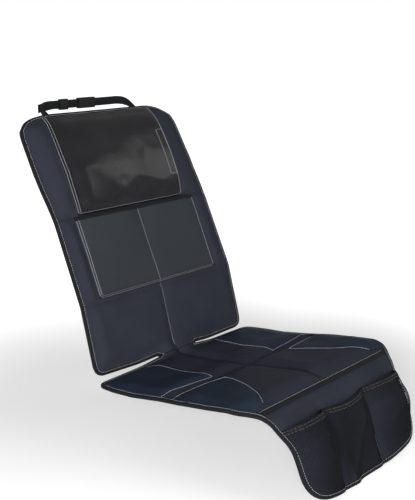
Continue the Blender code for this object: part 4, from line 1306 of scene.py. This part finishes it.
# %% Webbing helpers
STRAP_WIDTH = 18 * MM
STRAP = 1.4 * MM
TOP_EDGE = drape(0.0, BACK_TOP, 0.0)
RUN_Y = TOP_EDGE.y + 36 * MM
RUN_Z = TOP_EDGE.z + 14 * MM
BUCKLE_LEFT = -25 * MM
SLIDER_LEFT = -79 * MM
SOCKET_LENGTH = 32 * MM
PLUG_LENGTH = 16 * MM
GAP = 0.3 * MM
RIGHT_END_INWARD = 15 * MM
SEWN_PLACES = ((142, 20), (141, 2))
TURN_PLACES = ((139, -18, -12), (130, -6, -3), (112, 0, 0), (86, 0, 0))
TAIL_RUN = Vector((-57, 2, -6)) * MM


def smooth_between(values, steps=8):
    """More places on a smooth curve through the given ones."""
    made = []
    for index in range(len(values) - 1):
        before = values[max(0, index - 1)]
        first, second = values[index], values[index + 1]
        after = values[min(len(values) - 1, index + 2)]
        for step in range(steps):
            t = step / steps
            square = (2 * before - 5 * first + 4 * second - after) * t ** 2
            cube = (3 * first - before - 3 * second + after) * t ** 3
            made.append(0.5 * (2 * first + (second - before) * t + square + cube))
    return made + [values[-1]]


def webbing(name, centres, halves):
    """Webbing through centres, with a half width vector at each, not yet riding on a body."""
    centres, halves = smooth_between(centres), smooth_between(halves)
    count = len(centres) - 1
    steps = [(b - a).length for a, b in zip(centres, centres[1:])]
    mesh = bmesh.new()
    bmesh.ops.create_grid(mesh, x_segments=4, y_segments=count, size=0.5)
    places = []
    for vert in mesh.verts:
        index = round((vert.co.y + 0.5) * count)
        places.append(centres[index] + halves[index].normalized() * STRAP_WIDTH * vert.co.x)
        vert.co = (STRAP_WIDTH * (vert.co.x + 0.5), sum(steps[:index]), 0.0)
    store_flat_place(mesh)
    for vert, place in zip(mesh.verts, places):
        vert.co = place
    piece = make_piece(mesh, name, WEBBING_FINISH, None)
    solid = piece.modifiers.new("Thickness", "SOLIDIFY")
    solid.thickness = STRAP
    solid.offset = 0.0
    rim = piece.modifiers.new("Rim", "BEVEL")
    rim.width = 0.4 * MM
    rim.segments = 2
    return piece


print("buckle from", round(BUCKLE_LEFT / MM), "mm, free tail", round(TAIL_RUN.length / MM), "mm long")

# %% [markdown]
# ## The strap's line
#
# The left webbing runs through the slider to the socket. The right one belongs to two bodies: its sewn
# end stays on the mat and its inner end moves with the plug, so it rides on neither, and its place is
# baked into its mesh. The free tail lies behind the left webbing and rides on the slider.

# %% Strap pieces
def strap_line(sign, inner_end):
    """Centres and half widths of one webbing, from its sewn end to the buckle."""
    behind = -MAT_UNDER - LAYER_GAP - STRAP / 2
    inward = RIGHT_END_INWARD if sign > 0 else 0.0
    centres = [drape(sign * (out * MM - inward), BACK_TOP - down * MM, behind) for out, down in SEWN_PLACES]
    turn = Vector((-sign * inward, RUN_Y, RUN_Z))
    centres += [turn + Vector((sign * out, back, up)) * MM for out, back, up in TURN_PLACES]
    centres.append(Vector((inner_end + sign * GAP, RUN_Y, RUN_Z)))
    pad_facing = Vector((1, 0, 0)).cross(centres[1] - centres[0]).normalized()
    halves = []
    for index in range(len(centres)):
        along = centres[min(index + 1, len(centres) - 1)] - centres[max(index - 1, 0)]
        facing = pad_facing.lerp(Vector((0, -1, 0)), ease(index, 0.5, 4.0))
        halves.append(facing.cross(along).normalized())
    return centres, halves


strap_left = webbing("webbing_left", *strap_line(-1, BUCKLE_LEFT))
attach(strap_left, "mat")
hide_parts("strap_left")
PLUG_RIGHT = BUCKLE_LEFT + SOCKET_LENGTH + GAP + PLUG_LENGTH
strap_right = webbing("webbing_right", *strap_line(1, PLUG_RIGHT))
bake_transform(strap_right)
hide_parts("strap_right")
tail_start = Vector((SLIDER_LEFT - GAP, RUN_Y + STRAP + LAYER_GAP, RUN_Z))
tail_end = tail_start + TAIL_RUN
tail_middle = tail_start.lerp(tail_end, 0.4) + Vector((0, 0, 1.6)) * MM
strap_tail = webbing("webbing_tail", [tail_start, tail_middle, tail_end], [Vector((0, 0, 1))] * 3)
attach(strap_tail, "slider")
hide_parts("strap_tail")
print("strap run at", round(RUN_Y, 4), round(RUN_Z, 4))

# %% [markdown]
# ## Buckle and slider
#
# The buckle and the slider are hard plastic, and their solids already have the right shape: a frame,
# prongs and bars. They stay as they are and only get a satin black with a fine moulded grain.

# %% Buckle and slider
for name in ("buckle_socket", "buckle_plug", "strap_slider"):
    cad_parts[name].data.materials.clear()
    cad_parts[name].data.materials.append(PLASTIC_FINISH)
    print(name, "box", [tuple(round(v, 4) for v in corner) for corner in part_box(name)])

# %% [markdown]
# ## Floor, backdrop and light
#
# A pale floor and a white backdrop keep the dark cloth readable. The studio light is soft and plain. A
# large lamp stands low at the left, so that its light grazes the pads and shows their relief. A weaker
# one stands in front, and a small one at the right is mirrored in the film. The eye sees a white world,
# but little light comes from it.

# %% Stage
WORLD_LIGHT = 0.22
FLOOR_REACH = 20.0
WHITE_FROM = 0.55
WHITE_AT = 1.5
NEAR_GLOW = 0.26
LAMPS = (
    ("key_lamp", (-2.5, -1.5, 0.75), (0.0, 0.0, 0.2), 1.0, 160),
    ("fill_lamp", (0.3, -2.6, 0.85), (0.0, 0.0, 0.1), 1.2, 30),
    ("sheen_lamp", (1.9, -1.2, 1.45), (0.0, 0.3, 0.4), 0.7, 8),
)


def eye_rays(nodes):
    """1 where the eye, a mirror or glass looks, 0 for the light that falls on the object."""
    camera_ray, glossy_ray, glass_ray = [nodes.node("ShaderNodeLightPath", output=f"Is {kind} Ray")
                                         for kind in ("Camera", "Glossy", "Transmission")]
    return nodes.node("ShaderNodeClamp", Value=camera_ray + glossy_ray + glass_ray)


def stage_finish():
    """Pale floor that fades to white away from the object; its shadow stays."""
    finish = Finish("stage", Roughness=1.0, Specular_IOR_Level=0.0, Base_Color=(0.8, 0.8, 0.8, 1),
                    Emission_Strength=1.0)
    place = finish.node("ShaderNodeTexCoord", output=3)
    away = finish.node("ShaderNodeVectorMath", {"operation": "LENGTH"}, output=1, s0=place)
    fade = finish.node("ShaderNodeMapRange", {"interpolation_type": "SMOOTHSTEP"}, Value=away,
                       From_Min=WHITE_FROM, From_Max=WHITE_AT, To_Min=NEAR_GLOW, To_Max=1.0)
    finish.feed("Emission Color", finish.tint(fade * eye_rays(finish), (0, 0, 0), (1, 1, 1)))
    return finish.material


floor_mesh = bmesh.new()
bmesh.ops.create_grid(floor_mesh, x_segments=1, y_segments=1, size=FLOOR_REACH)
floor = make_piece(floor_mesh, "floor", stage_finish(), None)
floor.location.z = cad_box[0].z - 2 * MM

world = bpy.data.worlds.new("world")
bpy.context.scene.world = world
world.use_nodes = True
sky = Nodes(world.node_tree)
backdrop = sky.tree.nodes["Background"]
backdrop.inputs["Color"].default_value = (1.0, 1.0, 1.0, 1)
sky.plug(sky.node("ShaderNodeMapRange", Value=eye_rays(sky), To_Min=WORLD_LIGHT), backdrop.inputs["Strength"])

for name, place, target, size, power in LAMPS:
    data = bpy.data.lights.new(name, "AREA")
    data.size = size
    data.energy = power
    lamp = bpy.data.objects.new(name, data)
    lamp.location = place
    lamp.rotation_euler = (Vector(target) - Vector(place)).to_track_quat("-Z", "Y").to_euler()
    bpy.context.scene.collection.objects.link(lamp)
bpy.context.scene.view_settings.view_transform = "Standard"
print("lamps:", ", ".join(lamp[0] for lamp in LAMPS))
